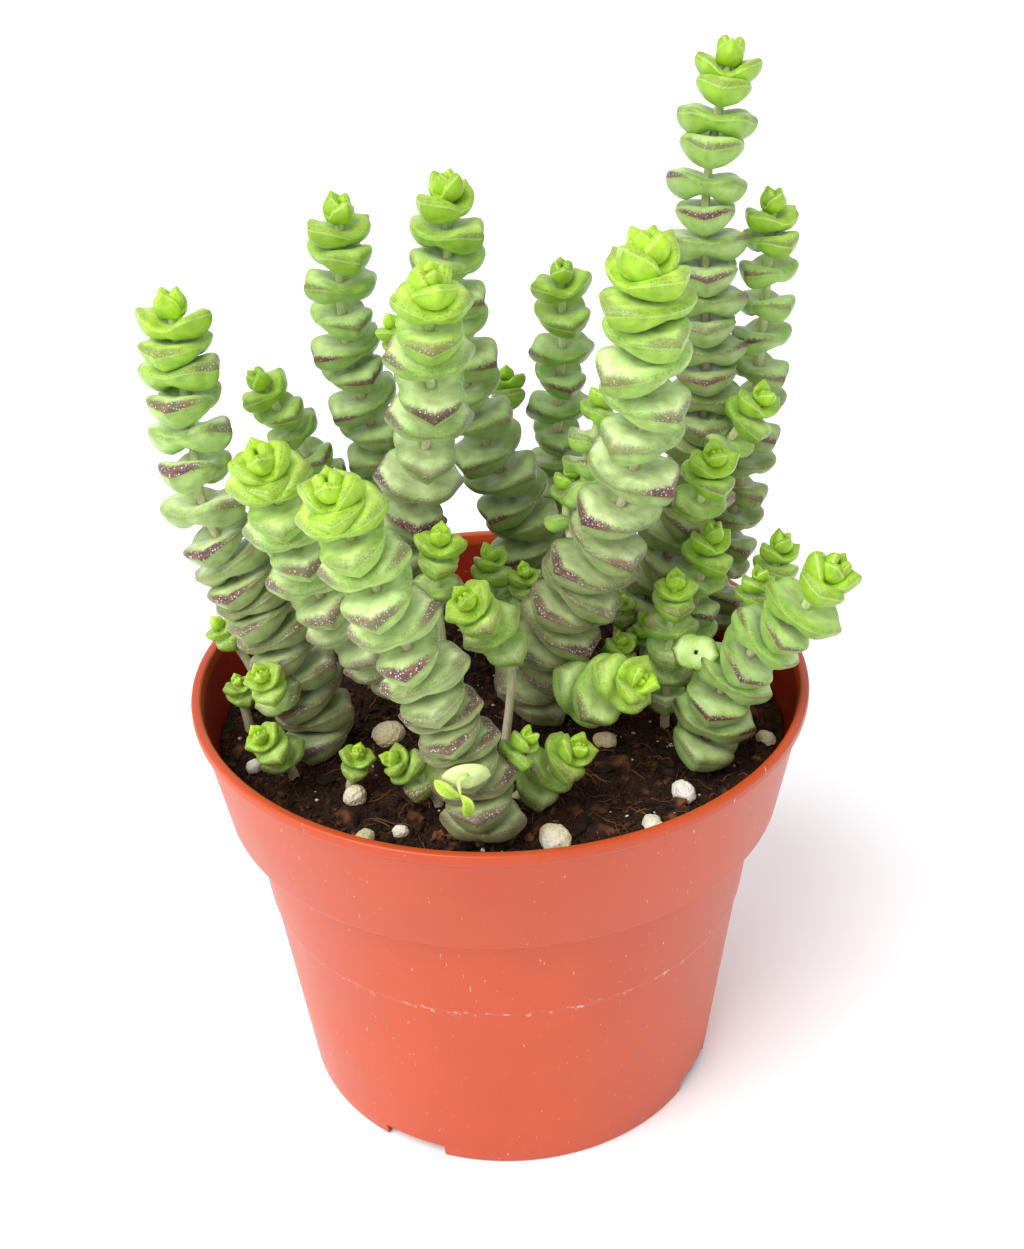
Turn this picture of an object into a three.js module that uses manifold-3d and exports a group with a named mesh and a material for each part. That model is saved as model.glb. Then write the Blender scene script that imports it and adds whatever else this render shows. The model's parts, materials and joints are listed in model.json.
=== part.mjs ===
// Potted baby necklace crassula in a round nursery pot.
// Millimetres, +Z up. The origin is the middle of the pot's underside, and -Y is the front.
// Each leafy stem is a thin shoot with thick leaf pairs threaded on it. The two leaves of a
// pair are grown together round the stem, and each pair is turned a quarter turn from the last.

import * as THREE from "three";
import { mergeVertices } from "three/addons/utils/BufferGeometryUtils.js";
import Module from "manifold-3d";

const wasm = await Module();
wasm.setup();

// Pot: a 4 inch nursery pot, about 108 mm across the rim and 81 mm tall
const RIM_RADIUS = 54;
const POT_HEIGHT = 81;
const BASE_RADIUS = 39;
const WALL = 1.2;
const FLOOR = 1.8;
const BAND_FOOT = 59.3;
const BAND_FOOT_RADIUS = 49.7;
const NECK_RADIUS = 46.4;
const BAND_TOP_RADIUS = 53.1;
const LIP_DEPTH = 2.2;
const LIP_WIDTH = 1.6;
const EDGE = 0.5;
const RIDGE_HEIGHT = 40;
const RIDGE_STEP = 0.35;
const POT_SIDES = 40;

// Drainage notches cut through the foot of the wall
const NOTCH_COUNT = 4;
const NOTCH_WIDTH = 12;
const NOTCH_HEIGHT = 2.6;
const NOTCH_DEPTH = 4;
const NOTCH_FIRST = -118;

// Soil, with its top a little below the rim
const SOIL_TOP = 70;
const SOIL_GAP = 0.3;

// The foot of each stem, and the hole it stands in
const FOOT_RADIUS = 1.3;
const FOOT_DEPTH = 6;
const FOOT_PROUD = 0.5;
const FOOT_SIDES = 5;
const HOLE_GAP = 0.4;

// Perlite: [x, y, length, width, height] of each grain that lies half sunk in the soil
const GRAINS = [
  [-25, -23, 4.0, 3.4, 3.8],
  [-20, -5, 6.0, 4.6, 4.6],
  [8, -37, 6.4, 4.8, 4.6],
  [24, -34, 5.2, 3.4, 3.2],
  [30, -25, 5.0, 3.6, 3.6],
  [46, -10, 3.6, 3.0, 3.0],
  [18, -9, 4.4, 3.2, 3.2],
  [-23, -35, 4.8, 3.2, 3.0],
  [-17, -33, 2.8, 2.2, 2.4],
  [-43, -13, 3.0, 2.6, 2.6],
  [38, -30, 2.6, 2.2, 2.2],
  [-8, 44, 4.4, 3.4, 3.2],
];
const GRAIN_SUNK = 0.3;
const GRAIN_LUMP = 0.12;

// A leaf pair, as shares of its half length or of its thickness
const THICKNESS_SHARE = 0.78;
const STEM_RADIUS = 0.75;
const SHOULDER_ANGLE = 52;
const OUTLINE = { tip: 1.02, shoulder: 0.9, waist: 0.74 };
const RIM_RISE = { tip: 0.12, shoulder: 0.3, waist: 0.1 };
const BELLY_SHARE = 0.8;
const BELLY_DROP = -0.3;
const BOTTOM_DROP = -0.56;
const TOP_RISE = 0.18;
const CLOSEST = 0.88;

// Young pairs are smaller and cupped. Both changes fade with the distance below the bud, which
// is measured as a share of the grown span. Shoots without a list of places use YOUNG_GAP.
const YOUNG_LOSS = 0.42;
const YOUNG_REACH = 0.13;
const YOUNG_CUP = 59;
const CUP_REACH = 0.19;
const GROWN_CUP = 5;
const YOUNG_GAP = [0.28, 0.5, 1];

// How unevenly the pairs grow
const SIZE_SPREAD = 0.05;
const TWIST_SPREAD = 7;
const TILT_SPREAD = 4;

// The stems. route runs from the soil, or from inside the parent stem, to the bud. width is the
// span of a grown pair at the foot and at the top, and turn the heading of the first pair's
// leaves. down lists how far below the bud each pair sits. Where there is no list, gap is the
// spacing of the grown pairs and bare the length of stem that has no leaves.
const STEMS = [
  { name: "stem_left", width: [16.6, 14.6], turn: -19,
    down: [0, 2.2, 5, 9, 14, 19.5, 25.3, 31.5, 37.3, 41.5, 45.2, 48.8, 52.4, 56.2, 60.2, 64.5, 69,
      73.6, 78.2],
    route: [
      [-31, -7, 70], [-34, -8, 85], [-39.6, -8, 100], [-46.6, -7, 116], [-48, -4, 130],
      [-49, -2, 149],
    ] },
  { name: "stem_left_back", width: [11.8, 11], turn: 40,
    down: [0, 2, 6, 10.7, 16.5, 21.5, 26.5, 31.5, 36.5],
    route: [[-24, 16, 70], [-26, 16, 95], [-32, 15, 116], [-38.5, 12, 131]] },
  { name: "stem_left_front", width: [14.2, 13.4], turn: 8,
    down: [0, 1.2, 2.4, 3.8, 9.2, 14, 19.5, 25, 30.5, 36, 41.5, 46.5, 51.5],
    route: [
      [-14, -4, 70], [-15, -10, 84], [-22, -16, 97], [-28, -19, 107], [-31, -23, 121],
      [-33.5, -29, 135],
    ] },
  { name: "stem_back_left", width: [15, 13.2], turn: 35,
    down: [0, 2.4, 6, 11.3, 17.1, 22.3, 27.2, 33.4, 39.3, 44.6, 49.8, 55, 60, 65, 70, 75, 80],
    route: [[-13, 30, 70], [-17, 22, 104], [-20.5, 18, 119], [-24, 14, 139], [-23.2, 12, 159]] },
  { name: "stem_front", width: [14.6, 13.6], turn: -3,
    down: [0, 1.2, 2.4, 3.8, 8.9, 13.2, 18.7, 24.6, 30.6, 35.3, 39.7, 43.3, 46.8, 50.2, 53.8, 57.5,
      61.6, 66.3],
    route: [
      [-4, -36, 70], [-4, -37, 81], [-9, -38, 97], [-15, -41, 114], [-20, -44, 130], [-22, -46, 138],
    ] },
  { name: "stem_back_middle", width: [17, 14], turn: 53,
    down: [0, 1.9, 6, 11, 17, 22.6, 28.8, 35.6, 42, 48.6, 55, 60.8, 66, 71.2, 76.4, 81.6, 86.8],
    route: [[9, 28, 70], [5, 24, 98], [-2, 20, 118], [-6, 15, 140], [-6, 12, 162]] },
  { name: "stem_middle", width: [15.4, 14.4], turn: 100,
    down: [0, 1.3, 3, 7.8, 12.6, 20, 26.4, 34.4, 41.8, 48.6, 54, 59, 64, 69, 74, 78.5],
    route: [[-14, 9, 70], [-16, 8, 100], [-10, -4, 129], [-9, -12, 146], [-8, -15, 156]] },
  { name: "stem_back", width: [13.6, 12.6], turn: 10,
    down: [0, 2.2, 7.1, 14.3, 20.2, 26.5, 32.5, 38.6, 44.6, 50.6, 56.6, 62],
    route: [[16, 40, 70], [12.5, 37.5, 100], [12.5, 35, 116], [13.2, 32.5, 128], [13, 30, 142]] },
  { name: "stem_right_front", width: [17.2, 16.4], turn: 41,
    down: [0, 1.4, 3, 6.4, 11, 16.2, 22.8, 29.4, 37, 44.6, 51.3, 57, 61.6, 66.2, 70.9, 75.6, 80.2,
      84.8, 89.4],
    route: [[4, 1, 70], [10, -6, 92], [18, -10, 111], [23, -15, 131], [23, -19, 149], [23, -20, 161]] },
  { name: "stem_tallest", width: [15.8, 13.8], turn: -5,
    down: [0, 1.9, 4, 8.6, 13, 18.6, 23.3, 28, 32.6, 37.3, 41.7, 45.9, 50, 54, 58.4, 63, 68, 73, 78,
      83, 88, 93, 98],
    route: [
      [24, 19, 70], [30, 17, 90], [35, 15, 106], [36.5, 13, 124], [36, 14, 144], [36, 16, 162],
      [39, 18, 180],
    ] },
  { name: "stem_right_back", width: [13.8, 12], turn: 35,
    down: [0, 2, 5.3, 10.5, 16.3, 22, 28, 34.3, 40.2, 46, 51.8, 57.3, 62.5, 67.6, 72.8, 78],
    route: [
      [38, 19, 70], [40.3, 20.5, 82], [43, 22, 96], [45.6, 21.5, 114], [46.8, 20, 133],
      [47.5, 20, 156],
    ] },
  { name: "stem_right_inner", width: [12.4, 10.8], turn: 30, gap: 5, bare: 12,
    route: [[32, 4, 70], [34, 4, 87], [37, 3, 104]] },
  { name: "stem_right_far", width: [10.8, 10.6], turn: 20, gap: 5, bare: 14,
    route: [[43, 4, 70], [47, 7, 84], [50, 8, 99]] },
  { name: "stem_right", width: [15.6, 13.4], turn: -15,
    down: [0, 1.2, 2.6, 8, 12.4, 17, 21.8, 26.4, 31.2, 36.2, 41.4],
    route: [
      [32, -15, 70], [35, -16, 76], [37, -17, 86], [42, -19, 95], [48, -22, 103], [52, -24, 111],
    ] },
  { name: "shoot_right_inner", width: [10.5, 9.6], turn: 0, gap: 4.8, bare: 7,
    route: [[29, -4, 70], [29, -5, 84], [30, -6, 100]] },
  { name: "shoot_centre_right_a", width: [7.8, 7.4], turn: 30, gap: 4, bare: 11,
    route: [[20, -1, 70], [21, -4, 88]] },
  { name: "shoot_centre_right_b", width: [7.8, 7.6], turn: 60, gap: 4, bare: 11,
    route: [[25, 3, 70], [26, 2, 88]] },
  { name: "shoot_centre_right_c", width: [7.2, 6.7], turn: 10, gap: 4, bare: 13,
    route: [[20, 7, 70], [22, 7, 90]] },
  { name: "shoot_front_right", width: [11.6, 9.9], turn: 20, gap: 4, bare: 4,
    route: [[2, -24, 70], [7, -27, 77], [12, -29, 83]] },
  { name: "shoot_centre", width: [11, 11], turn: 20, gap: 5, bare: 23,
    route: [[0, -14, 70], [2, -14, 90], [-1, -18, 99], [-5, -22, 107]] },
  { name: "shoot_centre_left", width: [11, 10.1], turn: 0, gap: 5.4, bare: 30,
    route: [[-8, -5, 70], [-10, -7, 98], [-9, -8, 111]] },
  { name: "shoot_centre_back", width: [9.4, 9.2], turn: 45, gap: 4.4, bare: 19,
    route: [[0, 13, 70], [-1, 12, 97]] },
  { name: "shoot_left_low", width: [9, 8.5], turn: 20, gap: 4, bare: 4,
    route: [[-36, -15, 70], [-37, -18, 76], [-40, -21, 82]] },
  { name: "shoot_front_left_a", width: [7.2, 7.2], turn: 0, gap: 4, bare: 4,
    route: [[-26, -19, 70], [-24, -21, 78]] },
  { name: "shoot_front_left_b", width: [9, 7.8], turn: 60, gap: 4, bare: 4,
    route: [[-11, -24, 70], [-14, -25, 76], [-18, -26, 80]] },
  { name: "shoot_far_left_a", width: [6.9, 6.5], turn: 30, gap: 4, bare: 4,
    route: [[-45, -1, 70], [-46, -2, 81]] },
  { name: "shoot_far_left_b", width: [8.3, 7.8], turn: 20, gap: 4.2, bare: 13,
    route: [[-43, 9, 70], [-46, 8, 80], [-50, 8, 87]] },
];

// Side shoots. They grow out of the stem they name and are one body with it.
const SIDE_SHOOTS = [
  { parent: "stem_left", width: [9, 8.5], turn: 10, gap: 4, bare: 6,
    route: [[-34, -8, 82], [-37, -14, 85], [-39, -18, 92]] },
  { parent: "stem_front", width: [7.8, 7.6], turn: 30, gap: 4, bare: 9,
    route: [[-4, -37, 79], [0, -35, 83], [4, -33, 88]] },
  { parent: "stem_front", width: [6.7, 5.6], turn: 70, gap: 4, bare: 6,
    route: [[-5, -37, 82], [-7, -45, 87]] },
  { parent: "stem_back_middle", width: [10.1, 9.4], turn: 0, gap: 4.6, bare: 12,
    route: [[-1, 20, 112], [3, 29, 115], [3, 34, 122]] },
  { parent: "stem_middle", width: [7.8, 7.4], turn: 20, gap: 4, bare: 3,
    route: [[-9, -8, 138], [-13, -4, 141], [-15, -3, 146]] },
  { parent: "stem_right_front", width: [9.6, 9.2], turn: 30, gap: 4.6, bare: 9,
    route: [[19, -11, 112], [15, -2, 118], [17, 0, 126], [19, 1, 132]] },
  { parent: "stem_right_front", width: [8.5, 8.1], turn: 30, gap: 4.4, bare: 8,
    route: [[15, -9, 104], [12, -2, 110], [13, 0, 118]] },
  { parent: "stem_right_front", width: [14.6, 12.4], turn: 90, gap: 5.4, bare: 9,
    route: [[7, -4, 78], [15, -14, 84], [22.4, -22.5, 91.5]] },
  { parent: "stem_tallest", width: [10.3, 10.3], turn: 30, gap: 5.6, bare: 10,
    route: [[35, 13, 112], [41, 8, 121], [45, 6, 128]] },
  { parent: "stem_tallest", width: [11, 10.5], turn: 20, gap: 5.4, bare: 16,
    route: [[34, 14, 102], [34, 0, 111], [36, -4, 122]] },
  { parent: "stem_right", width: [8.3, 7.8], turn: 30, gap: 4.6, bare: 13,
    route: [[37, -17, 87], [40, -13, 93], [43, -12, 104]] },
  { parent: "stem_right", width: [8.8, 8.8], turn: 60, gap: 5, bare: 9, cut: true,
    route: [[36.5, -16.8, 83], [33.5, -13.5, 89.5], [32.3, -17, 93]] },
  { parent: "shoot_centre_back", width: [8.3, 7.8], turn: 20, gap: 4.4, bare: 6,
    route: [[0, 13, 82], [4, 10, 87], [5, 9, 95]] },
];

// Corners closer than this are one corner
const WELD = 1e-4;

const degrees = THREE.MathUtils.degToRad;
const mix = THREE.MathUtils.lerp;

// An even spread of values from 0 to 1 that is the same each run
function chance(a, b, c) {
  const value = Math.sin(a * 12.9898 + b * 78.233 + c * 37.719) * 43758.5453;
  return value - Math.floor(value);
}

// Keeps only the corners of a geometry, each of them once
function welded(geometry) {
  const bare = geometry.clone();
  bare.deleteAttribute("normal");
  bare.deleteAttribute("uv");
  return mergeVertices(bare, WELD);
}

// Turns a closed geometry into a solid that can be joined and cut
function solidFrom(geometry) {
  const closed = welded(geometry);
  const index = closed.index.array;
  const triVerts = [];
  for (let i = 0; i < index.length; i += 3) {
    const [a, b, c] = [index[i], index[i + 1], index[i + 2]];
    if (a !== b && b !== c && c !== a) triVerts.push(a, b, c);
  }
  return new wasm.Manifold(
    new wasm.Mesh({
      numProp: 3,
      vertProperties: new Float32Array(closed.attributes.position.array),
      triVerts: new Uint32Array(triVerts),
    }),
  );
}

// Gives a solid back as a geometry
function geometryFrom(solid) {
  const mesh = solid.getMesh();
  const geometry = new THREE.BufferGeometry();
  geometry.setAttribute("position", new THREE.BufferAttribute(mesh.vertProperties, 3));
  geometry.setIndex(new THREE.BufferAttribute(mesh.triVerts, 1));
  geometry.computeVertexNormals();
  return geometry;
}

function joined(solids) {
  return wasm.Manifold.union(solids);
}

// A closed skin over a list of rings, each of 4 or 8 points, with flat ends or a last point
function skin(rings, apex) {
  const points = [];
  const faces = [];
  const starts = rings.map((ring) => {
    const start = points.length;
    points.push(...ring);
    return start;
  });
  const at = (r, k) => starts[r] + (k + rings[r].length) % rings[r].length;
  for (let r = 0; r + 1 < rings.length; r += 1) {
    const low = rings[r].length;
    const high = rings[r + 1].length;
    for (let k = 0; k < Math.min(low, high); k += 1) {
      if (low === high) {
        faces.push([at(r, k), at(r, k + 1), at(r + 1, k + 1)]);
        faces.push([at(r, k), at(r + 1, k + 1), at(r + 1, k)]);
      } else if (low < high) {
        faces.push([at(r, k), at(r + 1, 2 * k), at(r + 1, 2 * k - 1)]);
        faces.push([at(r, k), at(r + 1, 2 * k + 1), at(r + 1, 2 * k)]);
        faces.push([at(r, k), at(r, k + 1), at(r + 1, 2 * k + 1)]);
      } else {
        faces.push([at(r + 1, k), at(r, 2 * k - 1), at(r, 2 * k)]);
        faces.push([at(r + 1, k), at(r, 2 * k), at(r, 2 * k + 1)]);
        faces.push([at(r + 1, k), at(r, 2 * k + 1), at(r + 1, k + 1)]);
      }
    }
  }
  for (let k = 1; k + 1 < rings[0].length; k += 1) {
    faces.push([at(0, 0), at(0, k + 1), at(0, k)]);
  }
  const last = rings.length - 1;
  if (apex) {
    points.push(apex);
    for (let k = 0; k < rings[last].length; k += 1) {
      faces.push([at(last, k), at(last, k + 1), points.length - 1]);
    }
  } else {
    for (let k = 1; k + 1 < rings[last].length; k += 1) {
      faces.push([at(last, 0), at(last, k), at(last, k + 1)]);
    }
  }
  const geometry = new THREE.BufferGeometry().setFromPoints(points);
  geometry.setIndex(faces.flat());
  return solidFrom(geometry);
}

// The place of one ring: its middle, its axis and two directions across it
function frameAt(middle, axis, heading) {
  const front = new THREE.Vector3(0, -1, 0);
  const across = front.addScaledVector(axis, -front.dot(axis)).normalize();
  const u = across.applyAxisAngle(axis, degrees(heading));
  const v = new THREE.Vector3().crossVectors(axis, u);
  return { middle, axis, u, v };
}

function place(frame, angle, reach, rise) {
  return frame.middle
    .clone()
    .addScaledVector(frame.u, Math.cos(angle) * reach)
    .addScaledVector(frame.v, Math.sin(angle) * reach)
    .addScaledVector(frame.axis, rise);
}

function stemRing(frame, rise, radius) {
  return [0, 1, 2, 3].map((k) => place(frame, (k * Math.PI) / 2, radius, rise));
}

// Eight points round a leaf pair: two tips, two waists and the four shoulders between them
const AROUND = ["tip", "shoulder", "waist", "shoulder", "tip", "shoulder", "waist", "shoulder"];
const BACK_SHOULDER = 180 - SHOULDER_ANGLE;
const ANGLES = [
  0, SHOULDER_ANGLE, 90, BACK_SHOULDER,
  180, 180 + SHOULDER_ANGLE, 270, 180 + BACK_SHOULDER,
];
const LOBE_SHARE = { tip: 1, shoulder: 0.6, waist: 0.3 };

function pairPoint(frame, pair, k, reachShare, rimShare, drop) {
  const turned = pair.index % 2;
  const own = (k - 2 * turned + AROUND.length) % AROUND.length;
  const where = AROUND[own];
  const angle = degrees(ANGLES[own] + 90 * turned);
  const reach = pair.half * OUTLINE[where] * reachShare;
  const cup = degrees(pair.cup * LOBE_SHARE[where]);
  const rise = pair.thickness * (RIM_RISE[where] * rimShare + drop);
  return place(frame, angle, reach * Math.cos(cup), rise + reach * Math.sin(cup));
}

const EVERY = [0, 1, 2, 3, 4, 5, 6, 7];
const EVERY_OTHER = [0, 2, 4, 6];

function bellyRing(frame, pair) {
  return EVERY_OTHER.map((k) => pairPoint(frame, pair, k, BELLY_SHARE, 0, BELLY_DROP));
}

function rimRing(frame, pair, points) {
  return points.map((k) => pairPoint(frame, pair, k, 1, 1, 0));
}

// How far below the bud each pair of a stem sits
function placesDown(stem, length) {
  if (stem.down) return stem.down;
  const places = [];
  for (let down = 0; down < length - stem.bare; ) {
    const factor = stem.cut ? 1 : YOUNG_GAP[places.length] ?? 1;
    places.push(down);
    down += stem.gap * factor;
  }
  return places;
}

// The leaf pairs of a stem, from the bud down
function pairsOn(stem, length, seed) {
  const places = placesDown(stem, length);
  return places.map((down, j) => {
    const width = mix(stem.width[1], stem.width[0], down / length);
    const far = stem.cut ? Infinity : down / width;
    const spread = 1 + SIZE_SPREAD * (2 * chance(seed, j, 1) - 1);
    const half = (width / 2) * (1 - YOUNG_LOSS * Math.exp(-far / YOUNG_REACH)) * spread;
    const room = (places[j + 1] ?? down + half) - down;
    return {
      along: length - down,
      half,
      index: j,
      cup: GROWN_CUP + YOUNG_CUP * Math.exp(-((far / CUP_REACH) ** 2)),
      thickness: Math.min(half * THICKNESS_SHARE, room / CLOSEST),
      twist: TWIST_SPREAD * (2 * chance(seed, j, 2) - 1),
      tiltU: TILT_SPREAD * (2 * chance(seed, j, 3) - 1),
      tiltV: TILT_SPREAD * (2 * chance(seed, j, 4) - 1),
    };
  });
}

// One leafy stem: each pair with the stretch of stem above it, joined end to end
function leafyStem(stem, seed, hasFoot) {
  const points = stem.route.map((p) => new THREE.Vector3(...p));
  const curve = new THREE.CatmullRomCurve3(points, false, "catmullrom", 0.5);
  const length = curve.getLength();
  const pairs = pairsOn(stem, length, seed).reverse();
  const stemFrame = (along) => {
    const share = Math.min(Math.max(along / length, 0), 1);
    return frameAt(curve.getPointAt(share), curve.getTangentAt(share), stem.turn);
  };
  const tilted = (frame, pair) => {
    const axis = frame.axis.clone();
    axis.applyAxisAngle(frame.u, degrees(pair.tiltU));
    axis.applyAxisAngle(frame.v, degrees(pair.tiltV));
    return frameAt(frame.middle, axis, stem.turn + pair.twist);
  };
  const first = pairs[0];
  const entry = stemFrame(first.along);
  const start = stemRing(stemFrame(0), 0, hasFoot ? FOOT_RADIUS - HOLE_GAP : STEM_RADIUS);
  const middle = stemRing(stemFrame(first.along / 2), 0, STEM_RADIUS);
  const entryRing = stemRing(entry, BOTTOM_DROP * first.thickness, STEM_RADIUS);
  const solids = [skin([start, middle, entryRing])];
  pairs.forEach((pair, k) => {
    const frame = stemFrame(pair.along);
    const leaf = tilted(frame, pair);
    const rings = [
      stemRing(frame, BOTTOM_DROP * pair.thickness, STEM_RADIUS),
    ];
    const next = pairs[k + 1];
    if (next || stem.cut) {
      rings.push(bellyRing(leaf, pair), rimRing(leaf, pair, EVERY));
    } else {
      rings.push(rimRing(leaf, pair, EVERY_OTHER));
    }
    if (next) {
      const clear = next.along - pair.along + BOTTOM_DROP * next.thickness;
      rings.push(stemRing(frame, Math.min(TOP_RISE * pair.thickness, clear / 2), STEM_RADIUS));
      rings.push(stemRing(stemFrame(next.along), BOTTOM_DROP * next.thickness, STEM_RADIUS));
      solids.push(skin(rings));
    } else {
      solids.push(skin(rings, place(frame, 0, 0, TOP_RISE * pair.thickness)));
    }
  });
  return solids;
}

// A foot goes straight down into the soil. Its hole is the same shape, larger by the gap.
function footPrism(stem, gap) {
  const bottom = SOIL_TOP - FOOT_DEPTH - gap;
  const height = SOIL_TOP + FOOT_PROUD - bottom;
  const radius = FOOT_RADIUS + gap;
  const prism = new THREE.CylinderGeometry(radius, radius, height, FOOT_SIDES);
  prism.rotateX(Math.PI / 2);
  const [x, y] = stem.route[0];
  prism.translate(x, y, bottom + height / 2);
  return solidFrom(prism);
}

// A grain of perlite, a lumpy ball. Its pocket is the same shape, larger by the gap.
function grainSolid([x, y, length, width, height], index, gap) {
  const ball = welded(new THREE.IcosahedronGeometry(1, 0));
  const corners = ball.attributes.position;
  for (let i = 0; i < corners.count; i += 1) {
    const corner = new THREE.Vector3().fromBufferAttribute(corners, i);
    corner.multiplyScalar(1 + GRAIN_LUMP * (2 * chance(index, i, 1) - 1));
    corners.setXYZ(i, corner.x, corner.y, corner.z);
  }
  ball.scale(length / 2 + gap, width / 2 + gap, height / 2 + gap);
  ball.rotateZ(chance(index, 0, 2) * Math.PI);
  ball.translate(x, y, SOIL_TOP + height * (0.5 - GRAIN_SUNK));
  return solidFrom(ball);
}

// The pot's outer wall radius at a height
function wallRadius(z) {
  const step = z > RIDGE_HEIGHT ? RIDGE_STEP : 0;
  return mix(BASE_RADIUS, NECK_RADIUS - RIDGE_STEP, z / BAND_FOOT) + step;
}

// The rim band's outer radius at a height
function bandRadius(z) {
  const share = (z - BAND_FOOT) / (POT_HEIGHT - LIP_DEPTH - BAND_FOOT);
  return mix(BAND_FOOT_RADIUS, BAND_TOP_RADIUS, share);
}

function potSolid() {
  const top = POT_HEIGHT;
  const lipFoot = top - LIP_DEPTH;
  const lipInner = RIM_RADIUS - LIP_WIDTH;
  const profile = [
    [0, 0],
    [BASE_RADIUS - EDGE, 0],
    [BASE_RADIUS, EDGE],
    [wallRadius(RIDGE_HEIGHT), RIDGE_HEIGHT],
    [wallRadius(RIDGE_HEIGHT + EDGE), RIDGE_HEIGHT + EDGE],
    [NECK_RADIUS, BAND_FOOT],
    [BAND_FOOT_RADIUS - EDGE, BAND_FOOT],
    [BAND_FOOT_RADIUS, BAND_FOOT + EDGE],
    [BAND_TOP_RADIUS, lipFoot],
    [RIM_RADIUS, lipFoot + EDGE],
    [RIM_RADIUS, top - EDGE],
    [RIM_RADIUS - EDGE, top],
    [lipInner + EDGE, top],
    [lipInner, top - EDGE],
    [BAND_TOP_RADIUS - WALL, lipFoot],
    [bandRadius(BAND_FOOT + WALL) - WALL, BAND_FOOT + WALL],
    [NECK_RADIUS - WALL, BAND_FOOT + WALL - EDGE],
    [BASE_RADIUS - WALL, FLOOR],
    [0, FLOOR],
  ].map(([r, z]) => new THREE.Vector2(r, z));
  const lathe = new THREE.LatheGeometry(profile, POT_SIDES);
  lathe.rotateX(Math.PI / 2);
  let pot = solidFrom(lathe);
  for (let k = 0; k < NOTCH_COUNT; k += 1) {
    const notch = new THREE.BoxGeometry(2 * NOTCH_DEPTH, NOTCH_WIDTH, 2 * NOTCH_HEIGHT);
    notch.translate(BASE_RADIUS, 0, 0);
    notch.rotateZ(degrees(NOTCH_FIRST + (360 / NOTCH_COUNT) * k));
    pot = pot.subtract(solidFrom(notch));
  }
  return pot;
}

// The soil fills the pot from its floor up, with a hole for each stem and a pocket for each grain
function soilSolid() {
  const clear = WALL + SOIL_GAP;
  const ledge = BAND_FOOT + clear;
  const profile = [
    [0, FLOOR + SOIL_GAP],
    [BASE_RADIUS - clear, FLOOR + SOIL_GAP],
    [NECK_RADIUS - clear, ledge - EDGE],
    [bandRadius(ledge) - clear, ledge],
    [bandRadius(SOIL_TOP) - clear, SOIL_TOP],
    [0, SOIL_TOP],
  ].map(([r, z]) => new THREE.Vector2(r, z));
  const lathe = new THREE.LatheGeometry(profile, POT_SIDES);
  lathe.rotateX(Math.PI / 2);
  const holes = STEMS.map((stem) => footPrism(stem, HOLE_GAP));
  const pockets = GRAINS.map((grain, k) => grainSolid(grain, k, HOLE_GAP));
  return solidFrom(lathe).subtract(joined([...holes, ...pockets]));
}

const FINISHES = {
  plastic: { color: "#e2704f", roughness: 0.5 },
  soil: { color: "#2e1e16", roughness: 0.95 },
  perlite: { color: "#e9e2cf", roughness: 0.9 },
  leaf: { color: "#8fae76", roughness: 0.5 },
  youngLeaf: { color: "#9cc84a", roughness: 0.45 },
};

const plant = new THREE.Group();

function add(name, solid, finish) {
  const material = new THREE.MeshStandardMaterial({ ...finish, metalness: 0 });
  const mesh = new THREE.Mesh(geometryFrom(solid), material);
  mesh.name = name;
  plant.add(mesh);
}

add("pot", potSolid(), FINISHES.plastic);
add("soil", soilSolid(), FINISHES.soil);
GRAINS.forEach((grain, k) => {
  const number = String(k + 1).padStart(2, "0");
  add(`perlite_${number}`, grainSolid(grain, k, 0), FINISHES.perlite);
});
STEMS.forEach((stem, k) => {
  const sideShoots = SIDE_SHOOTS.flatMap((shoot, n) =>
    shoot.parent === stem.name ? leafyStem(shoot, STEMS.length + n, false) : [],
  );
  const parts = [footPrism(stem, 0), ...leafyStem(stem, k, true), ...sideShoots];
  const young = stem.name.startsWith("shoot");
  add(stem.name, joined(parts), young ? FINISHES.youngLeaf : FINISHES.leaf);
});

export default plant;
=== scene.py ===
# %% [markdown]
# A potted baby necklace crassula. It is a small succulent whose thick leaf pairs are threaded
# on thin shoots, each pair a quarter turn from the last, in a coral-orange nursery pot.
# The fixed frame gives the true sizes and places, and this lesson dresses it. Each cell makes
# one thing that can be seen, and the text before it says what that is on the real plant.

# %% Load the fixed frame
import functools
import json
import math

import bpy
import numpy as np
from mathutils import Matrix

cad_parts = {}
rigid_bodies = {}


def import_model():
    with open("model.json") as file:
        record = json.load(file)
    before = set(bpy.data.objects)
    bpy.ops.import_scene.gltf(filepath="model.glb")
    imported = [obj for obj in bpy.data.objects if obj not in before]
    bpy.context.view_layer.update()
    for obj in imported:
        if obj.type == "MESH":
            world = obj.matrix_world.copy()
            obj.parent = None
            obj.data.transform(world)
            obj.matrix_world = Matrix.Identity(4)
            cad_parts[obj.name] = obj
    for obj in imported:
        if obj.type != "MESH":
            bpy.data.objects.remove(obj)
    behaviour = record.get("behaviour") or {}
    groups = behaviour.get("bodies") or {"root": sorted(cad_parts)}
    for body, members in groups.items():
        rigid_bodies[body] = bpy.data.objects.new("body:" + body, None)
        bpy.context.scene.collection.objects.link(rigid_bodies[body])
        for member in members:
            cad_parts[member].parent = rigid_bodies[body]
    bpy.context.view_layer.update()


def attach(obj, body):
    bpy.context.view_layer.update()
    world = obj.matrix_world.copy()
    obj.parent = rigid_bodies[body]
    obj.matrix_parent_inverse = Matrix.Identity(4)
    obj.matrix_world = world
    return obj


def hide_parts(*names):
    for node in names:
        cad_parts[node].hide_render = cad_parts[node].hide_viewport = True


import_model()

MM = 0.001

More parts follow.
